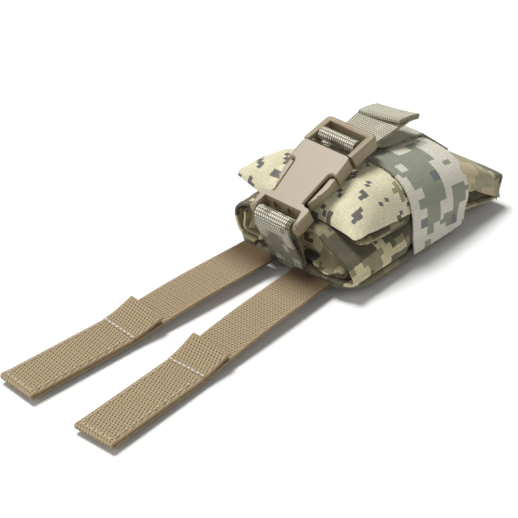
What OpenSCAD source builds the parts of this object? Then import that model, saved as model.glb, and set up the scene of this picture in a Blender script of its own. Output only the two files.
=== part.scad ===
// Rolled first-aid carrier: a camouflage cloth pouch rolled up on its back panel,
// held by a wide elastic band and by a webbing strap with a side-release buckle,
// with two webbing straps that weave it onto a vest or belt.
// Millimetres. +Z up, +Y towards the rear of the pouch, the origin in the middle of
// the outer face of the front webbing row, on which the pouch lies.

/* [Webbing] */
// Width of the straps, of the buckle's webbing and of the rows on the back panel
web_w = 25; // [22:0.5:27]
// Thickness of one layer of webbing
web_t = 1.6; // [1.2:0.1:2]
// Spacing of the two straps, and of the two rows on the back panel
web_pitch = 38; // [34:0.5:42]

/* [Back panel] */
// Width of the back panel
panel_w = 87; // [86:0.5:100]
// Length of the back panel
panel_l = 92; // [90:1:104]
// Thickness of the back panel
panel_t = 3; // [2:0.25:5]
// Radius of the corners of the back panel
panel_r = 12; // [9:0.5:16]
// Thickness of the tape that binds the panel's edge
tape_t = 0.8; // [0.5:0.1:1.2]
// Width of the tape on each face of the panel
tape_w = 6; // [4:0.5:9]
// Distance from the front edge of the panel to the front webbing row
row_setback = 26; // [22:0.5:28]
// Width of the seam in the middle of a webbing row
row_seam = 4; // [2:0.5:8]

/* [Attachment straps] */
// Length of a strap from its seam to its tip
strap_l = 169; // [140:1:200]
// Angle by which each strap leans outwards
strap_splay = 3.1; // [0:0.1:5]
// Height of the arch in the free run of a strap
strap_arch = 3.5; // [1:0.25:5]
// Length of the tip that is folded back and sewn
tip_l = 66; // [50:1:75]
// Length of the free lock tab beyond the seam of the tip
tab_l = 20.5; // [15:0.5:26]
// Angle at which the lock tab stands off its strap
tab_rise = 13; // [9:0.5:16]
// Thickness of the stiffener inside the tip
stiffener_t = 0.6; // [0.4:0.1:1]

/* [Rolled cloth] */
// Width of the roll
roll_w = 84; // [80:1:85]
// Height of the roll
roll_h = 25; // [20:0.5:30]
// Length of the roll from its open end to where the rear fold begins
roll_l = 98; // [92:1:102]
// Distance of the roll's open end behind the front edge of the panel
roll_setback = 2; // [2:0.25:5]
// Thickness of the layers of cloth that cover the roll
cover_t = 2.2; // [1.5:0.1:3]
// Depth by which each inner turn lies behind the one round it
turn_step = 2.5; // [1:0.5:4]
// Width of the gap between two turns of the roll, at its sides and over the inner one
turn_gap = 1.3; // [0.8:0.1:2]
// Reach of the two cloth corners that point out of the roll's core
point_l = 4.5; // [2:0.25:6]
// Height of those corners where they leave the core
point_h = 10; // [6:0.5:11]

/* [Folded flap] */
// Thickness of the flap at its crest
flap_h = 18; // [15:0.5:21]
// Distance of the flap's front edge behind the open end of the roll
flap_setback = 10; // [8:0.5:14]
// Reach of the flap's left wing from the middle of the pouch
flap_left = 50.5; // [46:0.5:56]
// Reach of the flap's right side from the middle of the pouch
flap_right = 38; // [34:0.5:39]
// Thickness of the flap along its edges
flap_edge = 4; // [2.5:0.25:5]

/* [Rear fold] */
// Length of the rear fold
rear_l = 38.5; // [32:0.5:44]
// Height of the rear fold at its end
rear_h = 14; // [12:0.5:16]
// Width of the rear fold at its end
rear_w = 85; // [78:1:88]

/* [Elastic band] */
// Width of the elastic band
band_w = 50; // [40:1:54]
// Thickness of the elastic band
band_t = 1.5; // [1:0.1:2]
// Distance of the band's front edge behind the front edge of the panel
band_setback = 54; // [52:0.5:58]
// Fall of the band's top from its front edge to its rear edge
band_fall = 7.5; // [5:0.5:10]

/* [Buckle] */
// Width of the buckle's socket
socket_w = 34; // [33:0.5:38]
// Thickness of the buckle's socket
socket_t = 9.5; // [9:0.25:11]
// Length of the socket's face, from its mouth to its webbing slot
socket_face = 40; // [39:0.5:44]
// Distance of the socket's mouth behind the front edge of the panel
mouth_setback = 34.8; // [33:0.2:38]
// Sideways place of the buckle and its webbing
buckle_x = -4; // [-6:0.5:6]
// Thickness of the socket's top, bottom and side walls
socket_wall = 1.6; // [1.2:0.1:2]
// Width of the side wall that the prongs catch on
catch_wall = 2.4; // [2:0.1:2.8]
// Length of the plug's frame
frame_l = 21.5; // [20.5:0.5:26]
// Thickness of the plug's frame
frame_t = 9; // [8.5:0.25:10]
// Angle between the plug's frame and the socket
frame_bend = 15; // [10:0.5:18]
// Radius of the bars that the webbing goes round
bar_r = 1.9; // [1.6:0.1:2.1]
// Distance by which the front webbing's foot lies nearer the middle of the pouch than the buckle
foot_shift = 3.2; // [0:0.2:6]
// Thickness of the prongs
prong_t = 5.5; // [4:0.25:5.5]

/* [Strap tail] */
// Length of the free tail of the adjusting webbing
tail_l = 36; // [32:1:42]
// Length of the tail's end that is folded over
tail_fold = 19; // [14:1:22]
// Angle by which the tail lies askew
tail_yaw = 4; // [0:0.5:8]
// Height to which the tail rises before its end droops
tail_rise = 4.2; // [2:0.2:6]

/* [Hidden] */

// Clearances
gap = 0.3;          // between soft pieces, and round a piece that turns
slide_gap = 0.2;    // between the plug and the socket
eps = 0.01;         // overlap of cutting tools

// Colours
CLOTH = [0.66, 0.63, 0.46];
BAND = [0.47, 0.50, 0.44];
COYOTE = [0.60, 0.50, 0.35];
MOULDED = [0.66, 0.58, 0.45];
WEB_CAMO = [0.68, 0.66, 0.52];

// Levels of the back panel, from the floor up
panel_z = web_t + tape_t;
deck_z = panel_z + panel_t + tape_t;
panel_front = -(row_setback + web_w / 2);
panel_rear = panel_front + panel_l;

// The roll
roll_z = deck_z + gap;
roll_top_z = roll_z + roll_h;
roll_front = panel_front + roll_setback;
roll_rear = roll_front + roll_l;
roll_power = 3.2;
roll_power_low = 14; // the roll is squarer where it lies on the panel
// where the edges of the two turns tuck in under the roll
cover_mouth = [-14, 4];
turn_mouth = [-20, 0];

// The flap
flap_front = roll_front + flap_setback;
flap_top_z = roll_top_z + flap_h;
flap_power = 6;
wing_slope = 0.26;
wing_from = 30;     // where the wing leaves the roll
wing_end = 6;       // length over which it comes down again in front of the band
tuck_l = 4.2;       // depth of the groove between the flap's two layers, along its right side
tuck_h = 1.7;       // height of that groove at its mouth
layer_t = 1.1;      // thickness of the lower layer there

// The band
band_front = panel_front + band_setback;
band_rear = band_front + band_w;
band_side = roll_w / 2 + 0.8;
band_power = 3.4;

// The rear fold
rear_from = roll_rear + gap;
rear_end = rear_from + rear_l;
rear_drop = 2.5;     // the lower layer hangs below the roll

// The buckle lies against the crest of the flap and the front of the roll
mouth_y = panel_front + mouth_setback;
buckle_tilt = atan((flap_h - gap) / (mouth_y - roll_front));
mouth_z = flap_top_z + gap + socket_t / cos(buckle_tilt);
slot_l = 7.4;
slot_lean = 3;      // how much nearer to the bar the slot's wall lies at its foot
pocket_w = 5;
pocket_l = 1.5;
arm_w = (socket_w - web_w) / 2 - 0.5;
bar_v = -(socket_face + slot_l + bar_r);
bar_w = -socket_t / 2;
socket_end = bar_v - bar_r;
shoulder_v = -13.5;
waist_v = -(socket_face - 7);
waist_half = 10.7;
cavity_half = socket_w / 2 - catch_wall;
cavity_v = -(socket_face - 3);
plug_travel = 36;

// The prongs
prong_root_v = -5;
prong_root_u = cavity_half - 4.1;
prong_root_r = 2;
prong_head = socket_w / 2 - 0.6;
prong_pad = 3.8;     // thickness of the pad that a finger presses
prong_tip_v = cavity_v + 3;
guide_half = 2.6;

// The plug's frame, in its own plane
frame_w = socket_w + 1;
frame_wall = (frame_w - web_w) / 2 - 0.7;
end_bar = 4;
lug_w = 2.2;
lug_l = 3.2;
tension_v = 9;
tension_w = -frame_t / 4;
ring_in = bar_r + 0.15;
ring_out = ring_in + web_t;
upper_leg_w = -(frame_t + gap + web_t / 2);
lower_leg_w = upper_leg_w - web_t - gap;
leg_end_v = frame_l + 1.5;
tail_root_v = leg_end_v + gap + web_t / 2 + web_w / 2 * sin(tail_yaw);

// The straps
strap_root_y = panel_front - tape_t - gap - web_t / 2 - web_w / 2 * sin(strap_splay);
strap_root_z = deck_z - web_t / 2;
free_l = strap_l - tip_l;
tip_z = web_t + stiffener_t;
tab_root_s = free_l - gap - web_t / 2;
tab_root_z = tip_z + web_t / 2;
seam_l = 2.5;

// Shapes that repeat

// A rectangle with round corners
module rounded_rect(w, l, r) {
  square([w - 2 * r, l], center = true);
  square([w, l - 2 * r], center = true);
  for (x = [-1, 1], y = [-1, 1])
    translate([x * (w / 2 - r), y * (l / 2 - r)]) circle(r, $fn = 48);
}

// A strip of thickness t along a line of points in a plane
function heading(p, i) =
  let (a = p[max(i - 1, 0)], b = p[min(i + 1, len(p) - 1)]) (b - a) / norm(b - a);
function beside(p, d) =
  [for (i = [0:len(p) - 1]) let (h = heading(p, i)) p[i] + d * [-h[1], h[0]]];
function back_to_front(list) = [for (i = [len(list) - 1:-1:0]) list[i]];
module strip(p, t) {
  polygon(concat(beside(p, t / 2), back_to_front(beside(p, -t / 2))));
}

// A cubic curve through two ends and two handles
function curve(a, b, c, d, n) =
  [for (i = [0:n]) let (t = i / n, s = 1 - t)
    a * s * s * s + b * 3 * s * s * t + c * 3 * s * t * t + d * t * t * t];

// Profiles in Y and Z, each drawn out along X
module along_x(w) {
  for (i = [0:$children - 1])
    rotate([90, 0, 90]) linear_extrude(w, center = true) children(i);
}

// A profile in X and Z, drawn out along Y between two places
module along_y(from, to) {
  translate([0, to, 0]) rotate([90, 0, 0]) linear_extrude(to - from) children();
}

// A closed skin over sections that have the same number of points
module skin(sections) {
  n = len(sections[0]);
  m = len(sections);
  sides = [for (j = [0:m - 2], i = [0:n - 1])
    let (a = j * n + i, b = j * n + (i + 1) % n) each [[a, b, b + n], [a, b + n, a + n]]];
  // each end is closed by a ladder between its two sides
  half = ceil(n / 2) - 2;
  end = concat(
    [for (i = [0:half]) [i, i + 1, n - 1 - i]],
    [for (i = [0:half]) if (i + 1 < n - 2 - i) [i + 1, n - 2 - i, n - 1 - i]]
  );
  last = (m - 1) * n;
  polyhedron(
    points = [for (s = sections) each s],
    faces = concat(
      sides,
      [for (f = end) [f[2], f[1], f[0]]],
      [for (f = end) [f[0] + last, f[1] + last, f[2] + last]]
    )
  );
}

// An oval with one power for its upper half and one for its lower half: squarer the higher it is
function root(v, power) = pow(max(v, 0), 1 / power);
function oval(half_w, half_h, upper, lower, n) =
  [for (i = [0:n - 1])
    let (a = 360 * i / n, c = cos(a), s = sin(a), power = s < 0 ? lower : upper)
      [half_w * sign(c) * pow(abs(c), 2 / power), half_h * sign(s) * pow(abs(s), 2 / power)]];

// A section across the pouch: an arch on a flat base
function arch_section(y, half_w, base, h, power, n) =
  [for (i = [0:n]) let (a = 180 * i / n, c = cos(a))
    [half_w * sign(c) * pow(abs(c), 2 / power), y, base + h * pow(sin(a), 2 / power)]];

// The back panel

module back_panel() {
  color(CLOTH)
    translate([0, (panel_front + panel_rear) / 2, panel_z])
      linear_extrude(panel_t) rounded_rect(panel_w, panel_l, panel_r);
}

// Tape folded over the edge of the panel, all the way round
module edge_binding() {
  color(CLOTH)
    translate([0, (panel_front + panel_rear) / 2, 0])
      difference() {
        translate([0, 0, panel_z - tape_t])
          linear_extrude(panel_t + 2 * tape_t)
            rounded_rect(panel_w + 2 * tape_t, panel_l + 2 * tape_t, panel_r + tape_t);
        translate([0, 0, panel_z])
          linear_extrude(panel_t) rounded_rect(panel_w, panel_l, panel_r);
        translate([0, 0, -eps])
          linear_extrude(deck_z + 1)
            rounded_rect(panel_w - 2 * tape_w, panel_l - 2 * tape_w, panel_r - tape_w / 2);
      }
}

// One row of webbing, sewn down at its ends and in its middle, so that it has two channels
module webbing_row(y) {
  front = max(y - web_w / 2, panel_front + tape_w + gap);
  rear = min(y + web_w / 2, panel_rear - tape_w - gap);
  color(COYOTE) {
    translate([-panel_w / 2, y - web_w / 2, 0]) cube([panel_w, web_w, web_t]);
    translate([-row_seam / 2, front, web_t - eps]) cube([row_seam, rear - front, tape_t + eps]);
  }
}

// The rolled cloth

function roll_surface(x) =
  let (k = pow(min(abs(x) / (roll_w / 2), 1), roll_power))
    roll_z + roll_h / 2 * (1 + root(1 - k, roll_power));

// Each turn lies on the bottom of the one round it
module roll_oval(inset, turn) {
  slack = turn * (turn_gap - gap);
  translate([0, roll_z + roll_h / 2 - slack / 2])
    polygon(oval(roll_w / 2 - inset, roll_h / 2 - inset + slack / 2, roll_power, roll_power_low, 72));
}

// One turn of cloth, with its edges tucked in below
module roll_layer(turn, mouth) {
  inset = turn * (cover_t + turn_gap);
  color(CLOTH) along_y(roll_front + turn * turn_step, roll_rear) difference() {
    roll_oval(inset, turn);
    roll_oval(inset + cover_t, turn);
    translate([mouth[0], roll_z - 1]) square([mouth[1] - mouth[0], roll_h / 3]);
  }
}

// The cloth folded up in the middle, with a corner that points out of each end of the roll
module roll_core() {
  inset = 2 * (cover_t + turn_gap);
  front = roll_front + 2 * turn_step + 3;
  half = roll_w / 2 - inset - 1;
  mid = roll_z + roll_h / 2 - 0.5;
  color(CLOTH) {
    along_y(front, roll_rear) roll_oval(inset, 2);
    for (side = [-1, 1])
      translate([side * half * 0.68, 0, mid]) rotate([0, side * 28, 0])
        along_x(half * 0.3)
          polygon([[front + point_l, point_h / 2], [front - point_l, -point_h * 0.15],
                   [front + point_l, -point_h / 2]]);
  }
}

// The folded flap on the roll

// Height of the buckle's underside over the pouch's length
function under_buckle(y) = mouth_z - socket_t / cos(buckle_tilt) + (y - mouth_y) * tan(buckle_tilt);
// Height of the band's inner face in the middle and at a place across
function band_top(y) = flap_top_z + gap - band_fall * max(y - band_front, 0) / band_w;
function band_inside(x, y) =
  deck_z + (band_top(y) - deck_z) * root(1 - pow(min(abs(x) / band_side, 1), band_power), band_power);
// Outline of the flap seen from above
function nose(y) = root(1 - pow(1 - min((y - flap_front) / 7, 1), 2), 2);
function ease(t) = let (c = min(max(t, 0), 1)) c * c * (3 - 2 * c);
function flap_left_at(y) =
  let (tucked = roll_w / 2 - 3.5, t = ease((band_front - 1 - y) / (band_front - flap_front - 9)))
    tucked + (flap_left - tucked) * t * (0.9 + 0.1 * nose(y));
function flap_right_at(y) = flap_right - 3 * (1 - nose(y));
// Underside of the flap: it lies on the roll, and its wing stands off to the left until the band
function flap_under(x, y) =
  let (lie = roll_surface(x), wing = roll_surface(wing_from) - wing_slope * (x + wing_from))
    gap + (x > -wing_from ? lie : lie + (wing - lie) * ease((band_front - 1 - y) / wing_end));
function flap_depth(y) =
  min(min(flap_top_z, under_buckle(y) - gap), band_top(y) - gap) - roll_top_z - gap;
function flap_over(x, y, s) =
  let (swell = root(1 - pow(abs(s), flap_power), 2),
       z = flap_under(x, y) + max(flap_edge, flap_depth(y) * nose(y) * swell))
    y < band_front - 1 ? z : max(flap_under(x, y) + 0.5, min(z, band_inside(x, y) - 2 * gap));
function flap_section(y) =
  let (n = 20, l = -flap_left_at(y), r = flap_right_at(y),
       place = [for (i = [0:n]) -cos(180 * i / n)],
       across = [for (s = place) (l + r) / 2 + s * (r - l) / 2])
    concat(
      [for (i = [0:n]) [across[i], y, flap_under(across[i], y)]],
      [for (i = [n:-1:0]) [across[i], y, flap_over(across[i], y, place[i])]]
    );

// The groove between the flap's upper layer and the layer turned in under it
module flap_tuck() {
  edge = flap_right + 1;
  low = flap_under(flap_right, band_front) + layer_t;
  deep = flap_right - tuck_l;
  along_y(flap_front + 6, band_front - 3)
    polygon([[deep, flap_under(deep, band_front) + layer_t], [edge, low], [edge, low + tuck_h]]);
}

module top_flap() {
  before = band_front - 1 - flap_front;
  inside = roll_rear - band_front;
  stations = concat(
    [for (k = [0.02, 0.06, 0.14, 0.25, 0.4, 0.55, 0.7, 0.85, 1]) flap_front + before * k],
    [for (k = [0, 0.33, 0.66, 1]) band_front + inside * k]
  );
  color(CLOTH) difference() {
    skin([for (y = stations) flap_section(y)]);
    flap_tuck();
  }
}

// The rear fold, where the rest of the pouch lies flat

function rear_top(y) =
  let (t = (y - rear_from) / rear_l, from = band_top(rear_from) - 2 * gap, to = roll_z - rear_drop + rear_h)
    y < band_rear ? band_top(y) - 2 * gap : from + (to - from) * (0.6 * t + 0.4 * ease(t));
function rear_section(y) =
  let (t = ease((y - rear_from) / rear_l),
       half = roll_w / 2 - 1 + (rear_w / 2 - roll_w / 2 + 1) * t,
       low = roll_z - rear_drop * t, high = rear_top(y), power = band_power + 1.6 * t)
    arch_section(y, half, low, high - low, power, 32);

// The open fold in each side, a wedge that widens towards the end wall
module side_fold() {
  layer = 2.4;
  depth = 14;
  apex_y = band_rear + 4;
  end_y = rear_end - layer;
  low = roll_z - rear_drop;
  for (side = [-1, 1])
    translate([side * rear_w / 2, 0, 0])
      along_x(2 * depth)
        polygon([[apex_y, low + rear_h * 0.95], [end_y, low + rear_h - layer], [end_y, low + layer]]);
}

module rear_fold() {
  stations = [for (k = [0, 0.1, 0.25, 0.4, 0.55, 0.7, 0.85, 0.95, 1]) rear_from + rear_l * k];
  color(CLOTH) difference() {
    skin([for (y = stations) rear_section(y)]);
    side_fold();
  }
}

// The elastic band, sewn into the panel's two side seams

function band_section(y, out) =
  arch_section(y, band_side + out, deck_z, band_top(y) - deck_z + out, band_power, 40);

module elastic_band() {
  color(BAND) difference() {
    skin([for (k = [0:0.25:1]) band_section(band_front + band_w * k, band_t)]);
    translate([0, 0, -eps])
      skin([for (k = [-0.1, 0.25, 0.5, 0.75, 1.1]) band_section(band_front + band_w * k, 0)]);
  }
}

// The buckle

// Places in the buckle's own plane: u across, v along the webbing, w up from the socket's top
module in_buckle() {
  translate([buckle_x, mouth_y, mouth_z]) rotate([buckle_tilt, 0, 0]) children();
}
module in_frame() {
  in_buckle() translate([0, 0, bar_w]) rotate([-frame_bend, 0, 0]) translate([0, 0, -bar_w]) children();
}
// The same, as the Y and Z of the pouch
function turned(p, a) = [p[0] * cos(a) - p[1] * sin(a), p[0] * sin(a) + p[1] * cos(a)];
function buckle_yz(p) = [mouth_y, mouth_z] + turned(p, buckle_tilt);
function frame_yz(p) = buckle_yz([0, bar_w] + turned(p - [0, bar_w], -frame_bend));

// Points on an arc
function arc(c, r, from, to, n) =
  [for (i = [0:n]) let (a = from + (to - from) * i / n) c + r * [cos(a), sin(a)]];

// The scoop in one side of the socket, where a finger reaches the prong
module scoop() {
  half = socket_w / 2;
  polygon(concat(
    [[half + 1, shoulder_v]],
    arc([half - 2.6, shoulder_v - 2.2], 2.2, 90, 155, 6),
    arc([waist_half + 3, waist_v - 1], 3, 170, 270, 8),
    arc([half - 2.6, waist_v - 6.6], 2.6, 90, 30, 6),
    [[half + 1, waist_v - 5]]
  ));
}

module socket_plan() {
  difference() {
    translate([0, socket_end / 2]) rounded_rect(socket_w, -socket_end, 3);
    for (m = [0, 1]) mirror([m, 0]) scoop();
  }
}

// The socket from the side: its arms end in a round nose
module socket_side() {
  nose = socket_t / 2;
  along_x(2 * socket_w) {
    translate([socket_end + nose, -socket_t]) square([-socket_end - nose, socket_t]);
    translate([socket_end + nose, -nose]) circle(nose, $fn = 64);
  }
}

// The slot's wall at a height below the socket's top, and the slot from the side
function slot_wall(w) = -socket_face + slot_lean * min(w, 0) / socket_t;
module slot_side() {
  low = -socket_t - 1;
  polygon([[socket_end - 1, 1], [slot_wall(1), 1], [slot_wall(0), 0],
           [slot_wall(-socket_t), -socket_t], [slot_wall(-socket_t), low], [socket_end - 1, low]]);
}
module pocket_side() {
  top = -socket_t / 4;
  low = -socket_t * 3 / 4;
  polygon([[slot_wall(top) - 1, top], [slot_wall(top) + pocket_l, top],
           [slot_wall(low) + pocket_l, low], [slot_wall(low) - 1, low]]);
}

module buckle_socket() {
  slot_half = socket_w / 2 - arm_w;
  color(MOULDED) in_buckle() {
    difference() {
      intersection() {
        translate([0, 0, -socket_t]) linear_extrude(socket_t) socket_plan();
        socket_side();
      }
      // the cavity for the plug
      translate([-cavity_half, cavity_v, -socket_t + socket_wall])
        cube([2 * cavity_half, -cavity_v + 1, socket_t - 2 * socket_wall]);
      // the slot for the webbing, open round the bar
      along_x(2 * slot_half) slot_side();
      // two pockets in the wall of the slot
      for (side = [-1, 1]) translate([side * pocket_w, 0, 0]) along_x(pocket_w) pocket_side();
    }
    translate([0, bar_v, bar_w]) rotate([0, 90, 0])
      cylinder(h = 2 * slot_half + 1, r = bar_r, center = true, $fn = 48);
  }
}

// The frame is open from the socket's mouth to its end bar
module frame_plan() {
  opening_l = frame_l - end_bar + 4;
  difference() {
    translate([0, frame_l / 2 - 1]) rounded_rect(frame_w, frame_l + 2, 3.2);
    translate([0, frame_l - end_bar - opening_l / 2])
      square([frame_w - 2 * frame_wall, opening_l], center = true);
  }
}

// The plug: its frame with the tension bar, its base in the socket's mouth and its middle guide
module buckle_plug() {
  base_half = cavity_half - slide_gap;
  base_low = -socket_t + socket_wall + slide_gap;
  base_h = socket_t - 2 * (socket_wall + slide_gap);
  base_end = prong_root_v + prong_root_r + gap;
  color(MOULDED) {
    difference() {
      in_frame() translate([0, 0, -frame_t]) linear_extrude(frame_t) frame_plan();
      in_buckle() translate([-socket_w, -socket_t, -2 * socket_t])
        cube([2 * socket_w, socket_t + 0.6, 3 * socket_t]);
    }
    in_frame() translate([0, tension_v, tension_w]) rotate([0, 90, 0])
      cylinder(h = frame_w - 2 * frame_wall + 1, r = bar_r, center = true, $fn = 48);
    in_buckle() {
      translate([-base_half, base_end, base_low]) cube([2 * base_half, 0.3 - base_end, base_h]);
      // lugs that carry the sides of the frame
      for (m = [0, 1]) mirror([m, 0, 0])
        translate([base_half - lug_w, base_end, base_low]) cube([lug_w, lug_l - base_end, base_h]);
      translate([-guide_half, prong_tip_v, base_low + 0.8])
        cube([2 * guide_half, base_end - prong_tip_v + 1, base_h - 1.6]);
    }
  }
}

// One sprung prong with its barb, turning at its root
module prong(side) {
  inner = prong_root_u - prong_root_r;
  mid_w = -socket_t / 2;
  color(MOULDED) in_buckle() mirror([side < 0 ? 1 : 0, 0, 0])
    translate([0, 0, mid_w - prong_t / 2]) {
      linear_extrude(prong_t) polygon([
        [inner, prong_root_v],
        [prong_root_u + 0.1, shoulder_v + 1.5],
        [prong_head - prong_pad - 0.3, shoulder_v - 3],
        [prong_head - prong_pad, shoulder_v - 7.5],
        [prong_head - prong_pad - 1, prong_tip_v + 6.3],
        [prong_head - prong_pad - 1.6, prong_tip_v],
        [prong_head - prong_pad - 0.6, prong_tip_v],
        [prong_head - 1.9, prong_tip_v + 5.5],
        [prong_head - 2.5, prong_tip_v + 6.3],
        [prong_head - 1.2, prong_tip_v + 8.3],
        [prong_head, shoulder_v - 7],
        [prong_head - 0.2, shoulder_v - 0.4],
        [cavity_half - 1.4, shoulder_v - 0.4],
        [prong_root_u + prong_root_r, prong_root_v]
      ]);
      translate([prong_root_u, prong_root_v, 0]) cylinder(h = prong_t, r = prong_root_r, $fn = 48);
    }
}

// The webbing of the buckle

// From the front edge of the panel up to the socket's bar, round it and down again
module front_webbing() {
  foot = [panel_front, deck_z + gap];
  bar = buckle_yz([bar_v, bar_w]);
  ring = bar_r + 0.15 + web_t;
  join = bar - [0, ring - web_t];
  line = curve(foot, foot + [-0.6, 8], join - [0, 9], join, 14);
  front = beside(line, web_t);
  back = beside(line, -web_t);
  // both layers together, askew by the shift of the foot
  sections = [for (i = [0:len(line) - 1])
    let (x = foot_shift * ease(1 - i / (len(line) - 2)))
      [[x + web_w / 2, back[i][0], back[i][1]], [x + web_w / 2, front[i][0], front[i][1]],
       [x - web_w / 2, front[i][0], front[i][1]], [x - web_w / 2, back[i][0], back[i][1]]]];
  color(WEB_CAMO) translate([buckle_x, 0, 0]) {
    skin(sections);
    along_x(web_w) difference() {
      translate(bar) circle(ring, $fn = 48);
      translate(bar) circle(ring - web_t, $fn = 48);
    }
  }
}

// Round the plug's tension bar, with both layers leading out under the end bar
module webbing_loop() {
  c = [tension_v, tension_w];
  mid = (ring_in + ring_out) / 2;
  color(WEB_CAMO) in_frame() difference() {
    along_x(web_w) {
      translate(c) circle(ring_out, $fn = 48);
      strip(curve(c + mid * [cos(-20), sin(-20)], c + [mid + 1, -4.5],
                  [leg_end_v - 9, upper_leg_w - 1.4], [leg_end_v, upper_leg_w], 12), web_t);
      strip(curve(c + [0, -mid], c + [3, -mid - 0.6],
                  [leg_end_v - 8, lower_leg_w - 0.6], [leg_end_v, lower_leg_w], 12), web_t);
    }
    along_x(web_w + 2) translate(c) circle(ring_in, $fn = 48);
  }
}

// Height of what the anchor webbing lies on
function under_anchor(y) =
  y < band_rear + 1 ? band_top(min(y, band_rear)) + band_t : rear_top(y);

// From the plug over the band and down to its seam on the rear fold
module anchor_webbing() {
  start = frame_yz([leg_end_v + gap + web_t / 2, lower_leg_w]);
  land = start[0] + 14;
  seam = rear_from + rear_l * 0.78;
  over = [for (k = [0:0.1:1]) land + (band_rear + 1.4 - land) * k];
  down = [for (k = [0.3, 0.5, 0.7, 0.85, 1]) band_rear + 1.4 + (seam - band_rear - 1.4) * k];
  lie = gap + web_t / 2;
  points = concat(
    curve(start, start + [5, -1.6], [land - 5, under_anchor(land - 5) + lie + 0.3],
          [land, under_anchor(land) + lie], 8),
    [for (i = [1:len(over) - 1]) [over[i], under_anchor(min(over[i], band_rear)) + lie]],
    [for (y = down) [y, rear_top(y) + lie + 0.3]]
  );
  color(WEB_CAMO) translate([buckle_x, 0, 0]) along_x(web_w) strip(points, web_t);
}

// The free tail, with its end folded over
module webbing_tail() {
  root_yz = frame_yz([tail_root_v, upper_leg_w]);
  before = tail_l - tail_fold;
  line = curve([0, 0], [tail_l * 0.25, tail_rise * 0.3], [tail_l * 0.45, tail_rise * 1.07],
               [before, tail_rise], 8);
  flat = [for (k = [0.5, 1]) [before + tail_fold * k, tail_rise * (1 - 1.07 * k * k)]];
  fold_end = flat[1];
  color(WEB_CAMO)
    translate([buckle_x, root_yz[0], root_yz[1]]) rotate([0, 0, tail_yaw]) along_x(web_w) {
      circle(web_t / 2, $fn = 32);
      strip(concat(line, flat), web_t);
      translate([0, web_t]) strip(concat([line[8]], flat), web_t);
      translate(fold_end + [0, web_t / 2]) circle(web_t, $fn = 32);
    }
}

// The attachment straps

// Height of the middle of a strap's lower layer along its length
function strap_z(s) =
  let (t = min(s / free_l, 1))
    web_t / 2 + (strap_root_z - web_t / 2) * pow(1 - t, 3) + strap_arch * sin(180 * t);

module in_strap(side) {
  translate([side * web_pitch / 2, strap_root_y, 0]) rotate([0, 0, side * strap_splay])
    rotate([90, 0, -90]) children();
}

module strap(side) {
  upper_z = tip_z + web_t / 2;
  end_r = (upper_z + web_t / 2) / 2;
  run = [for (i = [0:23]) let (s = free_l * i / 24) [s, strap_z(s)]];
  flat = [[free_l + seam_l / 2, web_t / 2], [strap_l - end_r, web_t / 2]];
  color(COYOTE) in_strap(side) difference() {
    union() {
      translate([0, strap_root_z, -web_w / 2]) cylinder(h = web_w, r = web_t / 2 - 2 * eps, $fn = 32);
      linear_extrude(web_w, center = true) strip(concat(run, flat), web_t);
      // the tip turns back over the stiffener and is sewn down across its end
      translate([strap_l - end_r, end_r, -web_w / 2]) cylinder(h = web_w, r = end_r, $fn = 48);
      translate([free_l, web_t / 2, -web_w / 2]) cube([tip_l - end_r, 2 * end_r - web_t / 2, web_w]);
    }
    // the pocket of the stiffener, between the two layers
    translate([free_l + seam_l, web_t, -web_w])
      cube([tip_l - seam_l - web_t - 1, stiffener_t, 2 * web_w]);
  }
}

// A thin plate in the pocket of the tip
module stiffener(side) {
  margin = 2.5;
  end = strap_l - web_t - 3;
  color("dimgray") in_strap(side)
    translate([free_l + seam_l + 0.5, web_t, -web_w / 2 + margin])
      cube([end - free_l - seam_l - 0.5, stiffener_t, web_w - 2 * margin]);
}

// The free end of the folded tip, which hooks behind the last row of webbing
module lock_tab(side) {
  color(COYOTE) in_strap(side) translate([tab_root_s, tab_root_z, 0])
    rotate([0, 0, 180 - tab_rise]) translate([0, 0, -web_w / 2]) {
      cylinder(h = web_w, r = web_t / 2, $fn = 32);
      translate([0, -web_t / 2, 0]) cube([tab_l - web_t, web_t, web_w]);
      translate([tab_l - web_t, 0, 0]) cylinder(h = web_w, r = web_t / 2, $fn = 32);
    }
}

back_panel();
edge_binding();
webbing_row(0);  // webbing_row_front
webbing_row(web_pitch);  // webbing_row_rear
roll_layer(0, cover_mouth);  // roll_cover
roll_layer(1, turn_mouth);  // roll_turn
roll_core();
top_flap();
rear_fold();
elastic_band();
front_webbing();
buckle_socket();
buckle_plug();
prong(-1);  // prong_left
prong(1);  // prong_right
webbing_loop();
webbing_tail();
anchor_webbing();
strap(-1);  // strap_left
strap(1);  // strap_right
stiffener(-1);  // stiffener_left
stiffener(1);  // stiffener_right
lock_tab(-1);  // lock_tab_left
lock_tab(1);  // lock_tab_right
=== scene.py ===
"""Rolled first-aid pouch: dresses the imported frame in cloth, webbing and moulded plastic."""

import logging
import math
from dataclasses import dataclass, field
from enum import Enum
from typing import Any, Callable

import bmesh
import bpy
from mathutils import Matrix, Vector, noise


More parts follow.
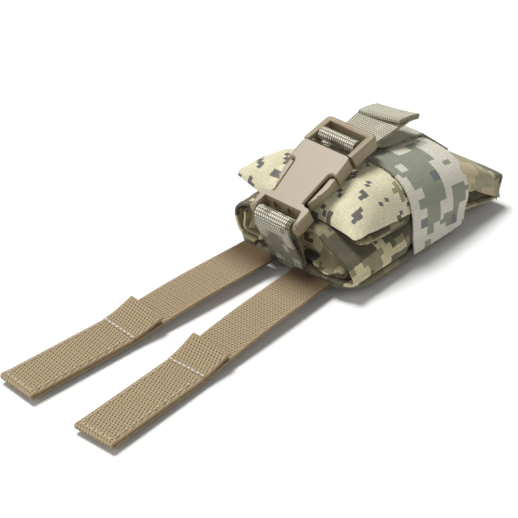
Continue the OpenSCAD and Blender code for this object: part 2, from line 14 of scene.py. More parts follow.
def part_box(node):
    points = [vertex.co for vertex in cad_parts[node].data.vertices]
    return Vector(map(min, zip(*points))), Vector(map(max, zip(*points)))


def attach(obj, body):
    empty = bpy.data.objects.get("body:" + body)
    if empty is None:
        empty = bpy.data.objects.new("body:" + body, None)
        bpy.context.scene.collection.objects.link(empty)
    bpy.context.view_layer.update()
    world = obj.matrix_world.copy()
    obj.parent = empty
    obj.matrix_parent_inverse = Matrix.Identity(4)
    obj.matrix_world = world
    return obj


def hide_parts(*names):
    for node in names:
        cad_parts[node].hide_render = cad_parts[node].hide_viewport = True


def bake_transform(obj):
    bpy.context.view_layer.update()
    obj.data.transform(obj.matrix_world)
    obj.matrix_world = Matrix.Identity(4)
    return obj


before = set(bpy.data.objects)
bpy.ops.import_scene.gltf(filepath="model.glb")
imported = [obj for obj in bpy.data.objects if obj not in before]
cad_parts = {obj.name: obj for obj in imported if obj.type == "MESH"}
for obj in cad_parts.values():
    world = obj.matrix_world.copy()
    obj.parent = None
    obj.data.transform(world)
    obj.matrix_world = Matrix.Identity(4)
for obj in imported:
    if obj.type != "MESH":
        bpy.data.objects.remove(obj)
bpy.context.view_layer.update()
MM = 0.001
MAP = "weave"
TURN = 2 * math.pi
SHARP = math.radians(35)
LOG = logging.getLogger("pouch")

Colour = tuple[float, float, float, float]
Line = list[Vector]
Shift = Callable[[float, float], tuple[float, float, float]]


def tint(red: float, green: float, blue: float, light: float = 1.15) -> Colour:
    """Turns a seen colour into the surface's own.

    Args:
        red, green, blue: the colour as seen, each from 0 to 255.
        light: brightness of a white face that looks up, in the studio's light.

    Returns:
        The linear colour, with an alpha of one.
    """
    seen = (value / 255 for value in (red, green, blue))
    linear = (c / 12.92 if c <= 0.04045 else ((c + 0.055) / 1.055) ** 2.4 for c in seen)
    return (*(c / light for c in linear), 1.0)


def ease(t: float) -> float:
    """Goes smoothly from 0 to 1 as t does."""
    c = min(max(t, 0.0), 1.0)
    return c * c * (3 - 2 * c)


def bell(t: float) -> float:
    """Falls smoothly from 1 at zero to nothing on both sides."""
    return math.exp(-t ** 2)


def root(value: float, power: float) -> float:
    """Gives a root of a value, which counts as zero below zero."""
    return max(value, 0.0) ** (1 / power)


def signed(value: float, power: float) -> float:
    """Raises a value to a power and keeps its sign."""
    return math.copysign(abs(value) ** power, value)


def yz(y: float, z: float) -> Vector:
    """Gives a move along the pouch and up."""
    return Vector((0, y, z))


def ripple(place: Vector, size: float, seed: int) -> float:
    """Gives smooth noise from -1 to 1, with swells of about the given size in millimetres."""
    return noise.noise(place / size + Vector((seed * 7.31, seed * 3.17, seed * 5.73)))


def shares(count: int) -> list[float]:
    """Gives even shares from 0 to 1, in a number of steps."""
    return [i / count for i in range(count + 1)]


def grid(rows: int, columns: int, place: Callable[[float, float], Vector]) -> list[Line]:
    """Gives lines of places, each place for a share along and a share across."""
    return [[place(t, k) for k in shares(columns)] for t in shares(rows)]


def arc(middle: tuple[float, float], radius: float, start: float, sweep: float,
        count: int) -> list[tuple[float, float]]:
    """Gives the flat points of an arc, with its angles in degrees."""
    angles = [math.radians(start + sweep * i / count) for i in range(count + 1)]
    return [(middle[0] + radius * math.cos(a), middle[1] + radius * math.sin(a)) for a in angles]


def curve(a: Vector, b: Vector, c: Vector, d: Vector, count: int) -> Line:
    """Gives points on the cubic curve from a to d, with b and c as its handles."""
    pairs = [(t, 1 - t) for t in shares(count)]
    return [a * s ** 3 + b * (3 * s * s * t) + c * (3 * s * t * t) + d * t ** 3 for t, s in pairs]


def span(line: Line) -> float:
    """Gives the length of a line."""
    return sum((b - a).length for a, b in zip(line, line[1:]))


def even(points: Line, count: int) -> Line:
    """Spaces points evenly along a line.

    Args:
        points: the line.
        count: how many steps to divide it into.

    Returns:
        The count + 1 points.
    """
    reach = [0.0]
    for before, after in zip(points, points[1:]):
        reach.append(reach[-1] + (after - before).length)
    spaced = []
    at = 0
    for i in range(count + 1):
        goal = reach[-1] * i / count
        while at < len(points) - 2 and reach[at + 1] < goal:
            at += 1
        step = reach[at + 1] - reach[at]
        spaced.append(points[at].lerp(points[at + 1], (goal - reach[at]) / step if step else 0.0))
    return spaced


class Slot(Enum):
    """The material slots, by name."""

    CLOTH = "cloth"
    BINDING = "binding"
    ELASTIC = "elastic"
    COYOTE = "coyote_webbing"
    PRINTED = "printed_webbing"
    MOULDED = "moulded"


class Side(Enum):
    """Which of a pair a piece is, with its sign along X."""

    LEFT = -1
    RIGHT = 1

    @property
    def word(self) -> str:
        """The side as it stands in a node's name."""
        return self.name.lower()


def math_node(operation: str, flipped: bool = False) -> Callable[..., "Field"]:
    """Makes a method of a field that adds one Math node.

    Args:
        operation: the Math node's operation.
        flipped: True where the field is its second value.

    Returns:
        The method.
    """
    def add(this: "Field", other: Any = 0.0) -> "Field":
        """Adds the node."""
        first, second = (other, this) if flipped else (this, other)
        return this.book.node("ShaderNodeMath", {"operation": operation}, {0: first, 1: second})

    return add


class Field:
    """A value that changes over a surface. Its operators add Math nodes."""

    def __init__(self, book: "NodeBook", socket: bpy.types.NodeSocket) -> None:
        """Wraps a socket of a node book."""
        self.book = book
        self.socket = socket

    __add__ = __radd__ = math_node("ADD")
    __sub__, __rsub__ = math_node("SUBTRACT"), math_node("SUBTRACT", flipped=True)
    __mul__ = math_node("MULTIPLY")
    __truediv__ = math_node("DIVIDE")
    __mod__ = math_node("FLOORED_MODULO")
    __gt__ = math_node("GREATER_THAN")
    floor = math_node("FLOOR")
    sine = math_node("SINE")
    size = math_node("ABSOLUTE")
    most = math_node("MAXIMUM")

    def wave(self, pitch: float) -> "Field":
        """Gives a wave from 0 to 1 that repeats every pitch."""
        return (self * (TURN / pitch)).sine() * 0.5 + 0.5

    def step(self, low: float, high: float) -> "Field":
        """Goes smoothly from 0 to 1 between two values."""
        limits = {0: self, 1: low, 2: high}
        return self.book.node("ShaderNodeMapRange", {"interpolation_type": "SMOOTHSTEP"}, limits)


class NodeBook:
    """The nodes of one material."""

    def __init__(self, name: str) -> None:
        """Starts a material with a plain surface.

        Args:
            name: the material's name.
        """
        self.material = bpy.data.materials.new(name)
        self.material.use_nodes = True
        self.tree = self.material.node_tree
        self.surface = self.tree.nodes["Principled BSDF"]

    def join(self, socket: bpy.types.NodeSocket, value: Any) -> None:
        """Links a field to a socket, or sets the socket to a plain value.

        Args:
            socket: an input of a node.
            value: the field or the plain value.
        """
        if isinstance(value, Field):
            self.tree.links.new(value.socket, socket)
        else:
            socket.default_value = value

    def node(self, kind: str, settings: dict[str, Any], inputs: dict[Any, Any], output: Any = 0) -> Field:
        """Adds a node.

        Args:
            kind: the node's type.
            settings: its own options, set before its sockets.
            inputs: a value or a field for each socket that needs one.
            output: which output to hand back.

        Returns:
            The output as a field.
        """
        made = self.tree.nodes.new(kind)
        for name, value in settings.items():
            setattr(made, name, value)
        for key, value in inputs.items():
            self.join(made.inputs[key], value)
        return Field(self, made.outputs[output])

    def mix(self, factor: Any, first: Any, second: Any, blend: str = "MIX") -> Field:
        """Mixes two colours by a factor."""
        settings = {"data_type": "RGBA", "blend_type": blend}
        return self.node("ShaderNodeMix", settings, {0: factor, 6: first, 7: second}, 2)

    def coats(self, colour: Any, *coats: tuple[Any, Colour]) -> Any:
        """Lays colours over a first one, each by its own factor.

        Args:
            colour: the first colour.
            coats: a factor and a colour for each.

        Returns:
            The colour that shows.
        """
        for factor, coat in coats:
            colour = self.mix(factor, colour, coat)
        return colour

    def place(self, on_map: bool) -> tuple[Field, Field, Field]:
        """Gives the place on the surface in millimetres.

        Args:
            on_map: True for the piece's own map, False for the object's X, Y and Z.

        Returns:
            The three numbers of the place.
        """
        if on_map:
            vector = self.node("ShaderNodeUVMap", {"uv_map": MAP}, {})
        else:
            vector = self.node("ShaderNodeTexCoord", {}, {}, "Object")
        parts = self.node("ShaderNodeSeparateXYZ", {}, {0: vector}).socket.node.outputs
        return tuple(Field(self, part) / MM for part in parts)

    def cloud(self, x: Field, y: Field, z: Any, scale: float, detail: float = 2.0) -> Field:
        """Gives soft noise from 0 to 1 at a place."""
        vector = self.node("ShaderNodeCombineXYZ", {}, {0: x, 1: y, 2: z})
        return self.node("ShaderNodeTexNoise", {}, {"Vector": vector, "Scale": scale, "Detail": detail})

    def blocks(self, u: Field, v: Field, cell: float, spread: float, seed: float) -> Field:
        """Gives noise that is the same all over each square of a grid.

        Args:
            u, v: the place in millimetres.
            cell: side of a square.
            spread: how many squares a patch spans.
            seed: picks another layout.

        Returns:
            The noise, from 0 to 1.
        """
        return self.cloud((u / cell).floor(), (v / cell).floor(), seed, scale=1 / spread, detail=1.0)

    def shade(self, colour: Any, factor: Field) -> Field:
        """Darkens or lightens a colour by a factor."""
        grey = self.node("ShaderNodeCombineXYZ", {}, {0: factor, 1: factor, 2: factor})
        return self.mix(1.0, colour, grey, "MULTIPLY")

    def dots(self, u: Field, v: Field, pitch: tuple[float, float], radius: tuple[float, float]) -> Field:
        """Gives soft dots in rows and columns.

        Args:
            u, v: the place in millimetres.
            pitch: spacing across and along.
            radius: half the size of a dot, across and along.

        Returns:
            The field, 1 in the middle of a dot.
        """
        across, along = (
            ((w / gap) % 1.0 - 0.5) * (gap / half) for w, gap, half in zip((u, v), pitch, radius)
        )
        return 1 - (across * across + along * along).step(0.3, 1.3)

    def finish(self, colour: Any, roughness: Any, height: Field, depth: float, sheen: float = 0.0,
               gloss: float = 0.3) -> bpy.types.Material:
        """Joins the fields to the surface.

        Args:
            colour: the base colour.
            roughness: the roughness.
            height: the relief, from 0 to 1.
            depth: what a height of 1 stands for, in millimetres.
            sheen: weight of the cloth's sheen.
            gloss: strength of the surface's reflection.

        Returns:
            The material.
        """
        bump = self.node("ShaderNodeBump", {}, {"Strength": 1.0, "Distance": depth * MM, "Height": height})
        values = {"Base Color": colour, "Roughness": roughness, "Normal": bump, "Sheen Weight": sheen,
                  "Specular IOR Level": gloss}
        for name, value in values.items():
            self.join(self.surface.inputs[name], value)
        return self.material


@dataclass(frozen=True)
class PrintedCloth:
    """Twill cloth with a blocky print of pale, olive, dark and charcoal patches."""

    name: str
    pale: Colour = tint(212, 203, 166)
    olive: Colour = tint(150, 147, 112)
    dark: Colour = tint(104, 98, 78)
    charcoal: Colour = tint(92, 90, 94)
    olive_from: float = 0.5
    dark_from: float = 0.56
    charcoal_from: float = 0.64
    seed: float = 1.0
    on_map: bool = True
    cell: float = 3.1
    rib: float = 0.9

    def make(self) -> bpy.types.Material:
        """Makes the material.

        Returns:
            The material.
        """
        book = NodeBook(self.name)
        u, v, w = book.place(self.on_map)
        if not self.on_map:
            v = v + w
        sway = book.cloud(u, v, 3.0, scale=0.45) * 1.1
        mark_u, mark_v = u + sway, v + sway
        olive = book.blocks(mark_u, mark_v, cell=self.cell, spread=6.0, seed=self.seed) > self.olive_from
        dark = book.blocks(mark_u, mark_v, cell=self.cell, spread=5.0, seed=self.seed + 21.5) > self.dark_from
        across, along = ((mark / (self.cell * 0.8)).floor() for mark in (mark_u, mark_v))
        trail = book.cloud(
            (across + along) * 0.16, (across - along) * 0.5, self.seed + 47.0, scale=0.8, detail=1.0
        )
        colour = book.coats(
            self.pale, (olive * 0.92, self.olive), (dark * 0.95, self.dark),
            ((trail > self.charcoal_from) * 0.9, self.charcoal)
        )
        soft = book.cloud(u, v, self.seed, scale=0.03)
        slub = book.cloud(u * 1.3, v * 0.14, 5.0, scale=1.0) + book.cloud(u * 0.14, v * 1.3, 8.0, scale=1.0)
        weave = (u + v * 0.35).wave(self.rib) * 0.65 + v.wave(self.rib / 1.2) * 0.35
        worn = book.cloud(u, v, 9.0, scale=0.9, detail=4.0)
        shade = (weave * 0.24 + 0.86) * (worn * 0.5 + 0.75) * (soft * 0.3 + 0.85) * (slub * 0.3 + 0.7)
        relief = weave * 0.8 + worn * 0.2
        return book.finish(book.shade(colour, shade), 0.88 - weave * 0.08, relief, depth=0.2, sheen=0.25)


@dataclass(frozen=True)
class PrintedElastic:
    """Woven elastic with a print of large squares."""

    name: str = "printed_elastic"
    green: Colour = tint(150, 154, 134)
    light: Colour = tint(226, 221, 204)
    slate: Colour = tint(112, 113, 120)
    cell: float = 5.8
    pitch: float = 1.5

    def make(self) -> bpy.types.Material:
        """Makes the material.

        Returns:
            The material.
        """
        book = NodeBook(self.name)
        u, v, _ = book.place(True)
        light = book.blocks(u, v, cell=self.cell, spread=3.6, seed=8.7) > 0.505
        small = book.blocks(u, v, cell=self.cell * 0.5, spread=4.0, seed=15.9) > 0.62
        slate = book.blocks(u, v, cell=self.cell, spread=2.4, seed=31.0) > 0.66
        colour = book.coats(
            self.green, (light, self.light), (small * light, self.green), (slate * 0.9, self.slate)
        )
        turn = TURN / self.pitch
        weave = ((u + v * 0.5) * turn).sine() * ((v - u * 0.1) * turn).sine() * 0.5 + 0.5
        worn = book.cloud(u, v, 2.0, scale=0.6, detail=3.0)
        slub = book.cloud(u * 1.4, v * 0.2, 5.0, scale=1.0)
        shade = (weave * 0.46 + 0.79) * (worn * 0.2 + 0.9) * (slub * 0.4 + 0.8)
        return book.finish(book.shade(colour, shade), 0.85, weave, depth=0.2, sheen=0.2)


@dataclass(frozen=True)
class RibbedWebbing:
    """Heavy webbing: slanted lumps of yarn in rows with dark holes between, with painted shade darkening it
    towards its root.
    """

    name: str = "coyote_webbing"
    yarn: Colour = tint(196, 176, 141)
    # painted shade: the dark colour of the holes between the yarns, where shade falls
    hole: Colour = tint(66, 50, 28)
    shadow: Colour = tint(132, 109, 74)
    # painted shade: a darker colour on the webbing's side edges, for the shade that falls on them
    side_shade: Colour = tint(158, 134, 96)
    # painted shade: a brown tint that darkens the webbing near its root, where the pouch shades it
    root_shade: Colour = (0.28, 0.2, 0.12, 1.0)
    root_shade_from: float = 31.0
    root_shade_full: float = 5.0
    row: float = 1.65
    column: float = 1.93
    slant: float = 0.35
    edge: float = 12.5

    def make(self) -> bpy.types.Material:
        """Makes the material.

        Returns:
            The material.
        """
        book = NodeBook(self.name)
        u, v, _ = book.place(True)
        out = u.size()
        lean = u + v * self.slant
        pitch = (self.column, 2 * self.row)
        large = book.dots(lean, v, pitch, (0.44, 0.56))
        small = book.dots(lean + self.column * 0.1, v + self.row, pitch, (0.38, 0.5))
        # painted shade: the holes between the yarns are coloured dark
        hole = large.most(small * 0.8) * (1 - out.step(self.edge - 1.6, self.edge - 0.9))
        rows, yarns = v.wave(self.row), lean.wave(self.column)
        colour = book.coats(
            self.yarn, ((1 - rows) * 0.34 + (1 - yarns) * 0.4, self.shadow), (hole * 0.95, self.hole),
            # painted shade on the side edges
            (out.step(self.edge - 0.6, self.edge - 0.1) * 0.9, self.side_shade)
        )
        # painted shade: the brown tint darkens the webbing fully near its root and fades out further along it
        colour = book.mix(1 - v.step(self.root_shade_full, self.root_shade_from), colour, self.root_shade, "MULTIPLY")
        fuzz = book.cloud(u, v, 1.0, scale=1.7, detail=3.0)
        shade = (fuzz * 0.5 + 0.75) * (book.cloud(u, v, 7.0, scale=0.06) * 0.16 + 0.92)
        relief = (rows * 0.3 + 0.7) * (yarns * 0.35 + 0.65) * (1 - hole * 0.9)
        return book.finish(book.shade(colour, shade), 0.82 - fuzz * 0.1, relief, depth=0.3, sheen=0.2)


@dataclass(frozen=True)
class PrintedWebbing:
    """Buckle webbing: rows of bright stitches of yarn, faintly printed."""

    name: str = "printed_webbing"
    print_depth: float = 0.8
    yarn: Colour = tint(255, 251, 226)
    olive: Colour = tint(130, 124, 90)
    # painted shade: the dark colour of the gaps between the beads of yarn, where shade falls
    gap: Colour = tint(44, 41, 31)
    row: float = 1.75
    column: float = 1.4
    edge: float = 12.5
    gap_depth: float = 0.84

    def make(self) -> bpy.types.Material:
        """Makes the material.

        Returns:
            The material.
        """
        book = NodeBook(self.name)
        u, v, _ = book.place(True)
        along, side = (
            ((w / pitch) % 1.0 - 0.5).size() * 2 for w, pitch in ((v, self.row), (u + v * 0.12, self.column))
        )
        bead = (1 - along.step(0.45, 0.95)) * (1 - side.step(0.4, 0.95))
        patch = book.blocks(u, v, cell=3.2, spread=3.6, seed=12.0).step(0.5, 0.55)
        # painted shade: the gaps between the beads are coloured dark
        colour = book.coats(
            self.yarn, (patch * self.print_depth, self.olive), ((1 - bead) * self.gap_depth, self.gap),
            # painted shade: the side edges are darkened towards olive, for the shade on them
            (u.size().step(self.edge - 0.5, self.edge) * 0.8, self.olive)
        )
        fuzz = book.cloud(u, v, 1.0, scale=2.2, detail=3.0)
        return book.finish(book.shade(colour, fuzz * 0.4 + 0.8), 0.8, bead, depth=0.3, sheen=0.2)


@dataclass(frozen=True)
class MouldedPlastic:
    """Matt moulded plastic with a fine spark-eroded grain."""

    name: str = "moulded"
    colour: Colour = tint(149, 131, 99)
    worn: Colour = tint(163, 146, 114)

    def make(self) -> bpy.types.Material:
        """Makes the material.

        Returns:
            The material.
        """
        book = NodeBook(self.name)
        x, y, z = book.place(False)
        grain = book.cloud(x, y, z, scale=3.2)
        colour = book.mix(book.cloud(x, y, z, scale=0.12, detail=3.0) * 0.6, self.colour, self.worn)
        return book.finish(colour, 0.42 + grain * 0.1, grain, depth=0.03, gloss=1.0)


@dataclass(frozen=True)
class Thread:
    """Twisted sewing thread."""

    name: str
    colour: Colour
    pitch: float = 0.5

    def make(self) -> bpy.types.Material:
        """Makes the material.

        Returns:
            The material.
        """
        book = NodeBook(self.name)
        x, y, z = book.place(False)
        twist = (x + y + z).wave(self.pitch)
        return book.finish(book.shade(self.colour, twist * 0.25 + 0.78), 0.7, twist, depth=0.08, sheen=0.2)


@dataclass(frozen=True)
class CutSheet:
    """Dull plastic sheet, scuffed."""

    name: str = "stiffener_sheet"
    colour: Colour = tint(70, 70, 70)
    scuff: Colour = tint(98, 98, 96)

    def make(self) -> bpy.types.Material:
        """Makes the material.

        Returns:
            The material.
        """
        book = NodeBook(self.name)
        x, y, z = book.place(False)
        marks = book.cloud(x * 3, y * 0.3, z, scale=0.7, detail=4.0)
        return book.finish(book.mix(marks, self.colour, self.scuff), 0.6 + marks * 0.2, marks, depth=0.05)


class Finishes:
    """Every finish of the pouch, made once."""

    def __init__(self) -> None:
        """Makes the materials."""
        self.flap = PrintedCloth(
            "flap_cloth", pale=tint(238, 231, 196), olive_from=0.66, dark_from=0.72, charcoal_from=0.63,
            seed=2.0
        ).make()
        self.roll = PrintedCloth(
            "roll_cloth", pale=tint(218, 206, 163), olive=tint(142, 136, 102), dark=tint(90, 85, 65),
            olive_from=0.48, dark_from=0.5, charcoal_from=0.72, seed=12.0, cell=3.6
        ).make()
        self.core = PrintedCloth(
            "core_cloth", pale=tint(226, 212, 170), olive=tint(164, 154, 116), dark=tint(104, 96, 72),
            olive_from=0.58, dark_from=0.64, charcoal_from=0.8, seed=4.0, on_map=False
        ).make()
        # painted shade: a dark brown copy of the cloth for the gussets, standing in for the shade under the
        # top sheet
        self.shaded_gusset = PrintedCloth(
            "shaded_gusset_cloth", pale=tint(122, 109, 84), olive=tint(98, 89, 68), dark=tint(72, 65, 50), seed=23.0
        ).make()
        self.rear = PrintedCloth(
            "rear_cloth", pale=tint(206, 190, 150), olive=tint(163, 158, 124), olive_from=0.42,
            dark_from=0.66, charcoal_from=0.85, seed=11.0, cell=4.4
        ).make()
        self.panel = PrintedCloth(
            "panel_cloth", dark_from=0.58, charcoal_from=0.7, seed=15.0, on_map=False
        ).make()
        # the binding tape is darker than the panel's cloth: partly its own darker tape, partly painted shade
        # from the roll and band over it
        self.binding = PrintedCloth(
            "binding_tape", pale=tint(146, 138, 106), olive=tint(118, 114, 86), olive_from=0.46,
            charcoal_from=0.8, seed=19.0
        ).make()
        self.elastic = PrintedElastic().make()
        self.coyote = RibbedWebbing().make()
        self.printed = PrintedWebbing().make()
        # a paler copy of the printed webbing, with much less print and lighter gaps, for the tail and the
        # anchor
        self.paler_print = PrintedWebbing("paler_print_webbing", 0.2, row=1.6, column=1.3, gap_depth=0.66).make()
        self.moulded = MouldedPlastic().make()
        self.white_thread = Thread("white_thread", tint(255, 250, 240)).make()
        self.tan_thread = Thread("tan_thread", tint(240, 222, 184)).make()
        self.sheet = CutSheet().make()


class End(Enum):
    """A side of a CAD node's box: which corner it comes from and along which axis."""

    RIGHT = (1, 0)
    FRONT = (0, 1)
    REAR = (1, 1)
    BOTTOM = (0, 2)
    TOP = (1, 2)

    def of(self, node: str) -> float:
        """Gives the place of that side of a node, in millimetres."""
        corner, axis = self.value
        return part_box(node)[corner][axis] / MM


@dataclass(frozen=True)
class Layout:
    """Sizes and places that several pieces share, in millimetres, as the frame has them."""

    gap: float = 0.3
    web_w: float = 25.0
    web_t: float = 1.6
    web_pitch: float = 38.0
    tape_t: float = 0.8
    panel_front: float = End.FRONT.of("back_panel")
    panel_rear: float = End.REAR.of("back_panel")
    panel_half: float = End.RIGHT.of("back_panel")
    panel_z: float = End.BOTTOM.of("back_panel")
    panel_top: float = End.TOP.of("back_panel")
    deck_z: float = End.TOP.of("edge_binding")
    roll_front: float = End.FRONT.of("roll_cover")
    roll_rear: float = End.REAR.of("roll_cover")
    roll_z: float = End.BOTTOM.of("roll_cover")
    roll_top: float = End.TOP.of("roll_cover")
    roll_half: float = End.RIGHT.of("roll_cover")
    roll_power: float = 3.2
    roll_power_low: float = 14.0
    sunk: float = 6.5
    flap_h: float = 18.0
    band_front: float = End.FRONT.of("elastic_band")
    band_rear: float = End.REAR.of("elastic_band")
    band_t: float = 1.5
    band_fall: float = 7.5
    band_side: float = End.RIGHT.of("elastic_band") - band_t
    band_power: float = 3.4
    rear_from: float = End.FRONT.of("rear_fold")
    rear_end: float = End.REAR.of("rear_fold")
    rear_low: float = End.BOTTOM.of("rear_fold")
    rear_h: float = 14.0
    rear_half: float = 42.5
    buckle_x: float = -4.0
    mouth_setback: float = 34.8
    socket_t: float = 9.5
    frame_bend: float = math.radians(15)

    @property
    def flap_top(self) -> float:
        """Height of the flap's crest."""
        return self.roll_top + self.flap_h

    @property
    def mouth_y(self) -> float:
        """Place of the socket's mouth along the pouch."""
        return self.panel_front + self.mouth_setback

    @property
    def tilt(self) -> float:
        """Slope of the buckle."""
        return math.atan((self.flap_h - self.gap) / (self.mouth_y - self.roll_front))

    @property
    def mouth_z(self) -> float:
        """Height of the socket's mouth."""
        return self.flap_top + self.gap + self.socket_t / math.cos(self.tilt)

    def roll_level(self, z: float) -> float:
        """How high a place on the roll is, from 0 at its bottom to 1 at its top."""
        return (z - self.roll_z) / (self.roll_top - self.roll_z)

    def roll_surface(self, x: float) -> float:
        """Height of the roll's top at a place across it."""
        k = min(abs(x) / self.roll_half, 1.0) ** self.roll_power
        return self.roll_z + (self.roll_top - self.roll_z) / 2 * (1 + root(1 - k, self.roll_power))

    def shoulder(self, x: float, y: float) -> float:
        """How far the roll's right shoulder sinks in front of the band."""
        return self.sunk * ease((x - 14) / 22) * (1 - ease((y - self.band_front + 2) / 6))

    def band_top(self, y: float) -> float:
        """Height of the band's inner face at its crest."""
        fall = self.band_fall * max(y - self.band_front, 0.0) / (self.band_rear - self.band_front)
        return self.flap_top + self.gap - fall

    def band_inside(self, x: float, y: float) -> float:
        """Height of the band's inner face at a place across it."""
        k = 1 - min(abs(x) / self.band_side, 1.0) ** self.band_power
        return self.deck_z + (self.band_top(y) - self.deck_z) * root(k, self.band_power)

    def under_buckle(self, y: float) -> float:
        """Height of the buckle's underside."""
        return self.flap_top + self.gap + (y - self.mouth_y) * math.tan(self.tilt)

    def rear_share(self, y: float) -> float:
        """How far a place is along the rear fold, from 0 to 1."""
        return (y - self.rear_from) / (self.rear_end - self.rear_from)

    def rear_top(self, y: float) -> float:
        """Height of the rear fold's top sheet.

        Args:
            y: the place along the pouch.

        Returns:
            The height.
        """
        if y < self.band_rear:
            return self.band_top(y) - 2 * self.gap
        t = self.rear_share(y)
        start = self.band_top(self.rear_from) - 2 * self.gap
        end = self.rear_low + self.rear_h
        return start + (end - start) * (0.6 * t + 0.4 * ease(t))

    def on_buckle(self, v: float, w: float) -> Vector:
        """A place in the buckle's plane, as a point on the pouch's middle line."""
        c, s = math.cos(self.tilt), math.sin(self.tilt)
        return Vector((self.buckle_x, self.mouth_y + v * c - w * s, self.mouth_z + v * s + w * c))

    def on_frame(self, v: float, w: float) -> Vector:
        """A place in the plane of the plug's frame, which is bent against the socket.

        Args:
            v: how far behind the socket's mouth.
            w: how far above the frame's upper face.

        Returns:
            The point.
        """
        c, s = math.cos(-self.frame_bend), math.sin(-self.frame_bend)
        lift = w + self.socket_t / 2
        return self.on_buckle(v * c - lift * s, v * s + lift * c - self.socket_t / 2)


def new_object(name: str, mesh: bmesh.types.BMesh) -> bpy.types.Object:
    """Makes an object of a mesh in millimetres, and scales it to metres.

    Args:
        name: the object's name.
        mesh: its mesh, which is freed.

    Returns:
        The object.
    """
    bmesh.ops.scale(mesh, vec=(MM, MM, MM), verts=mesh.verts)
    data = bpy.data.meshes.new(name)
    mesh.to_mesh(data)
    mesh.free()
    for face in data.polygons:
        face.use_smooth = True
    made = bpy.data.objects.new(name, data)
    bpy.context.scene.collection.objects.link(made)
    return made


def modify(made: bpy.types.Object, name: str, kind: str, **settings: Any) -> None:
    """Adds a modifier with its settings to a piece.

    Args:
        made: the piece.
        name: the modifier's name.
        kind: its type.
        settings: its settings.
    """
    added = made.modifiers.new(name, kind)
    for key, value in settings.items():
        setattr(added, key, value)


def bevel(mesh: bmesh.types.BMesh, edges: list[bmesh.types.BMEdge], radius: float, segments: int,
          clamp: bool = False) -> None:
    """Rounds edges of a mesh by a radius.

    Args:
        mesh: the mesh.
        edges: the edges.
        radius: the radius, in millimetres.
        segments: faces round each edge.
        clamp: True where roundings mustn't run into each other.
    """
    bmesh.ops.bevel(
        mesh, geom=edges, offset=radius, offset_type="OFFSET", segments=segments, profile=0.5, affect="EDGES",
        clamp_overlap=clamp, material=-1
    )


@dataclass
class Loft:
    """A piece of cloth or webbing laid from a flat grid over lines across it."""

    name: str
    stations: list[Line]
    columns: int
    thickness: float = 0.0
    edge: float = 0.0
    closed: bool = False
    offset: float = 0.0

    def build(self) -> bpy.types.Object:
        """Lays the grid on the stations, with a map in metres.

        Returns:
            The new object, with thickness and rounded edges as modifiers where it has them.
        """
        lines = [even(line, self.columns) for line in self.stations]
        rows = len(lines) - 1
        reach = [self.offset]
        for before, after in zip(lines, lines[1:]):
            apart = sum((b - a).length for a, b in zip(before, after))
            reach.append(reach[-1] + apart / (self.columns + 1))
        widths = [span(line) for line in lines]

        def cell(vert: bmesh.types.BMVert) -> tuple[int, int]:
            """Column and row of a corner of the flat grid."""
            return round((vert.co.x + 0.5) * self.columns), round((vert.co.y + 0.5) * rows)

        sheet = bmesh.new()
        bmesh.ops.create_grid(sheet, x_segments=self.columns, y_segments=rows, size=0.5)
        layer = sheet.loops.layers.uv.new(MAP)
        for face in sheet.faces:
            for loop in face.loops:
                i, j = cell(loop.vert)
                loop[layer].uv = ((i / self.columns - 0.5) * widths[j] * MM, reach[j] * MM)
        for vert in sheet.verts:
            i, j = cell(vert)
            vert.co = lines[j][i]
        if self.closed:
            bmesh.ops.remove_doubles(sheet, verts=sheet.verts, dist=0.02)
            bmesh.ops.recalc_face_normals(sheet, faces=sheet.faces)
        made = new_object(self.name, sheet)
        if self.thickness:
            modify(made, "thickness", "SOLIDIFY", thickness=self.thickness * MM, offset=0.0,
                   use_even_offset=True)
        if self.edge:
            modify(made, "soft_edges", "BEVEL", width=self.edge * MM, segments=2, limit_method="ANGLE",
                   angle_limit=math.radians(55), harden_normals=False)
        return made


def ribbon(name: str, line: Line, across: Vector, width: float, thickness: float, columns: int = 10,
           shift: Shift = lambda a, b: (0.0, 0.0, 0.0), offset: float = 0.0) -> bpy.types.Object:
    """Makes a length of webbing along a line.

    Args:
        name: the piece's name.
        line: the middle of the webbing, in millimetres.
        across: the direction of its width.
        width, thickness: its section.
        columns: faces across it.
        shift: move at a place, from -1 to 1 across and 0 to 1 along.
        offset: where the map starts along it.

    Returns:
        The piece, with thickness and rounded edges as modifiers.
    """
    half = across * (width / 2)
    places = [2 * k - 1 for k in shares(columns)]
    stations = [
        [point + half * a + Vector(shift(a, b)) for a in places]
        for point, b in zip(line, shares(len(line) - 1))
    ]
    return Loft(name, stations, columns, thickness, edge=thickness * 0.3, offset=offset).build()


def dress(made: bpy.types.Object, material: bpy.types.Material, slot: Slot, body: str, *nodes: str) -> None:
    """Gives a piece its finish and its body, and hides the CAD nodes that it stands for.

    Args:
        made: the piece.
        material: its finish.
        slot: not used.
        body: the body that it rides on, or an empty word where it bends between two.
        nodes: the CAD nodes that it replaces.
    """
    made.data.materials.clear()
    made.data.materials.append(material)
    if body:
        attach(made, body)
    if nodes:
        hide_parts(*nodes)
    LOG.info("%s: %d faces, on %s", made.name, len(made.data.polygons), body or "two bodies")


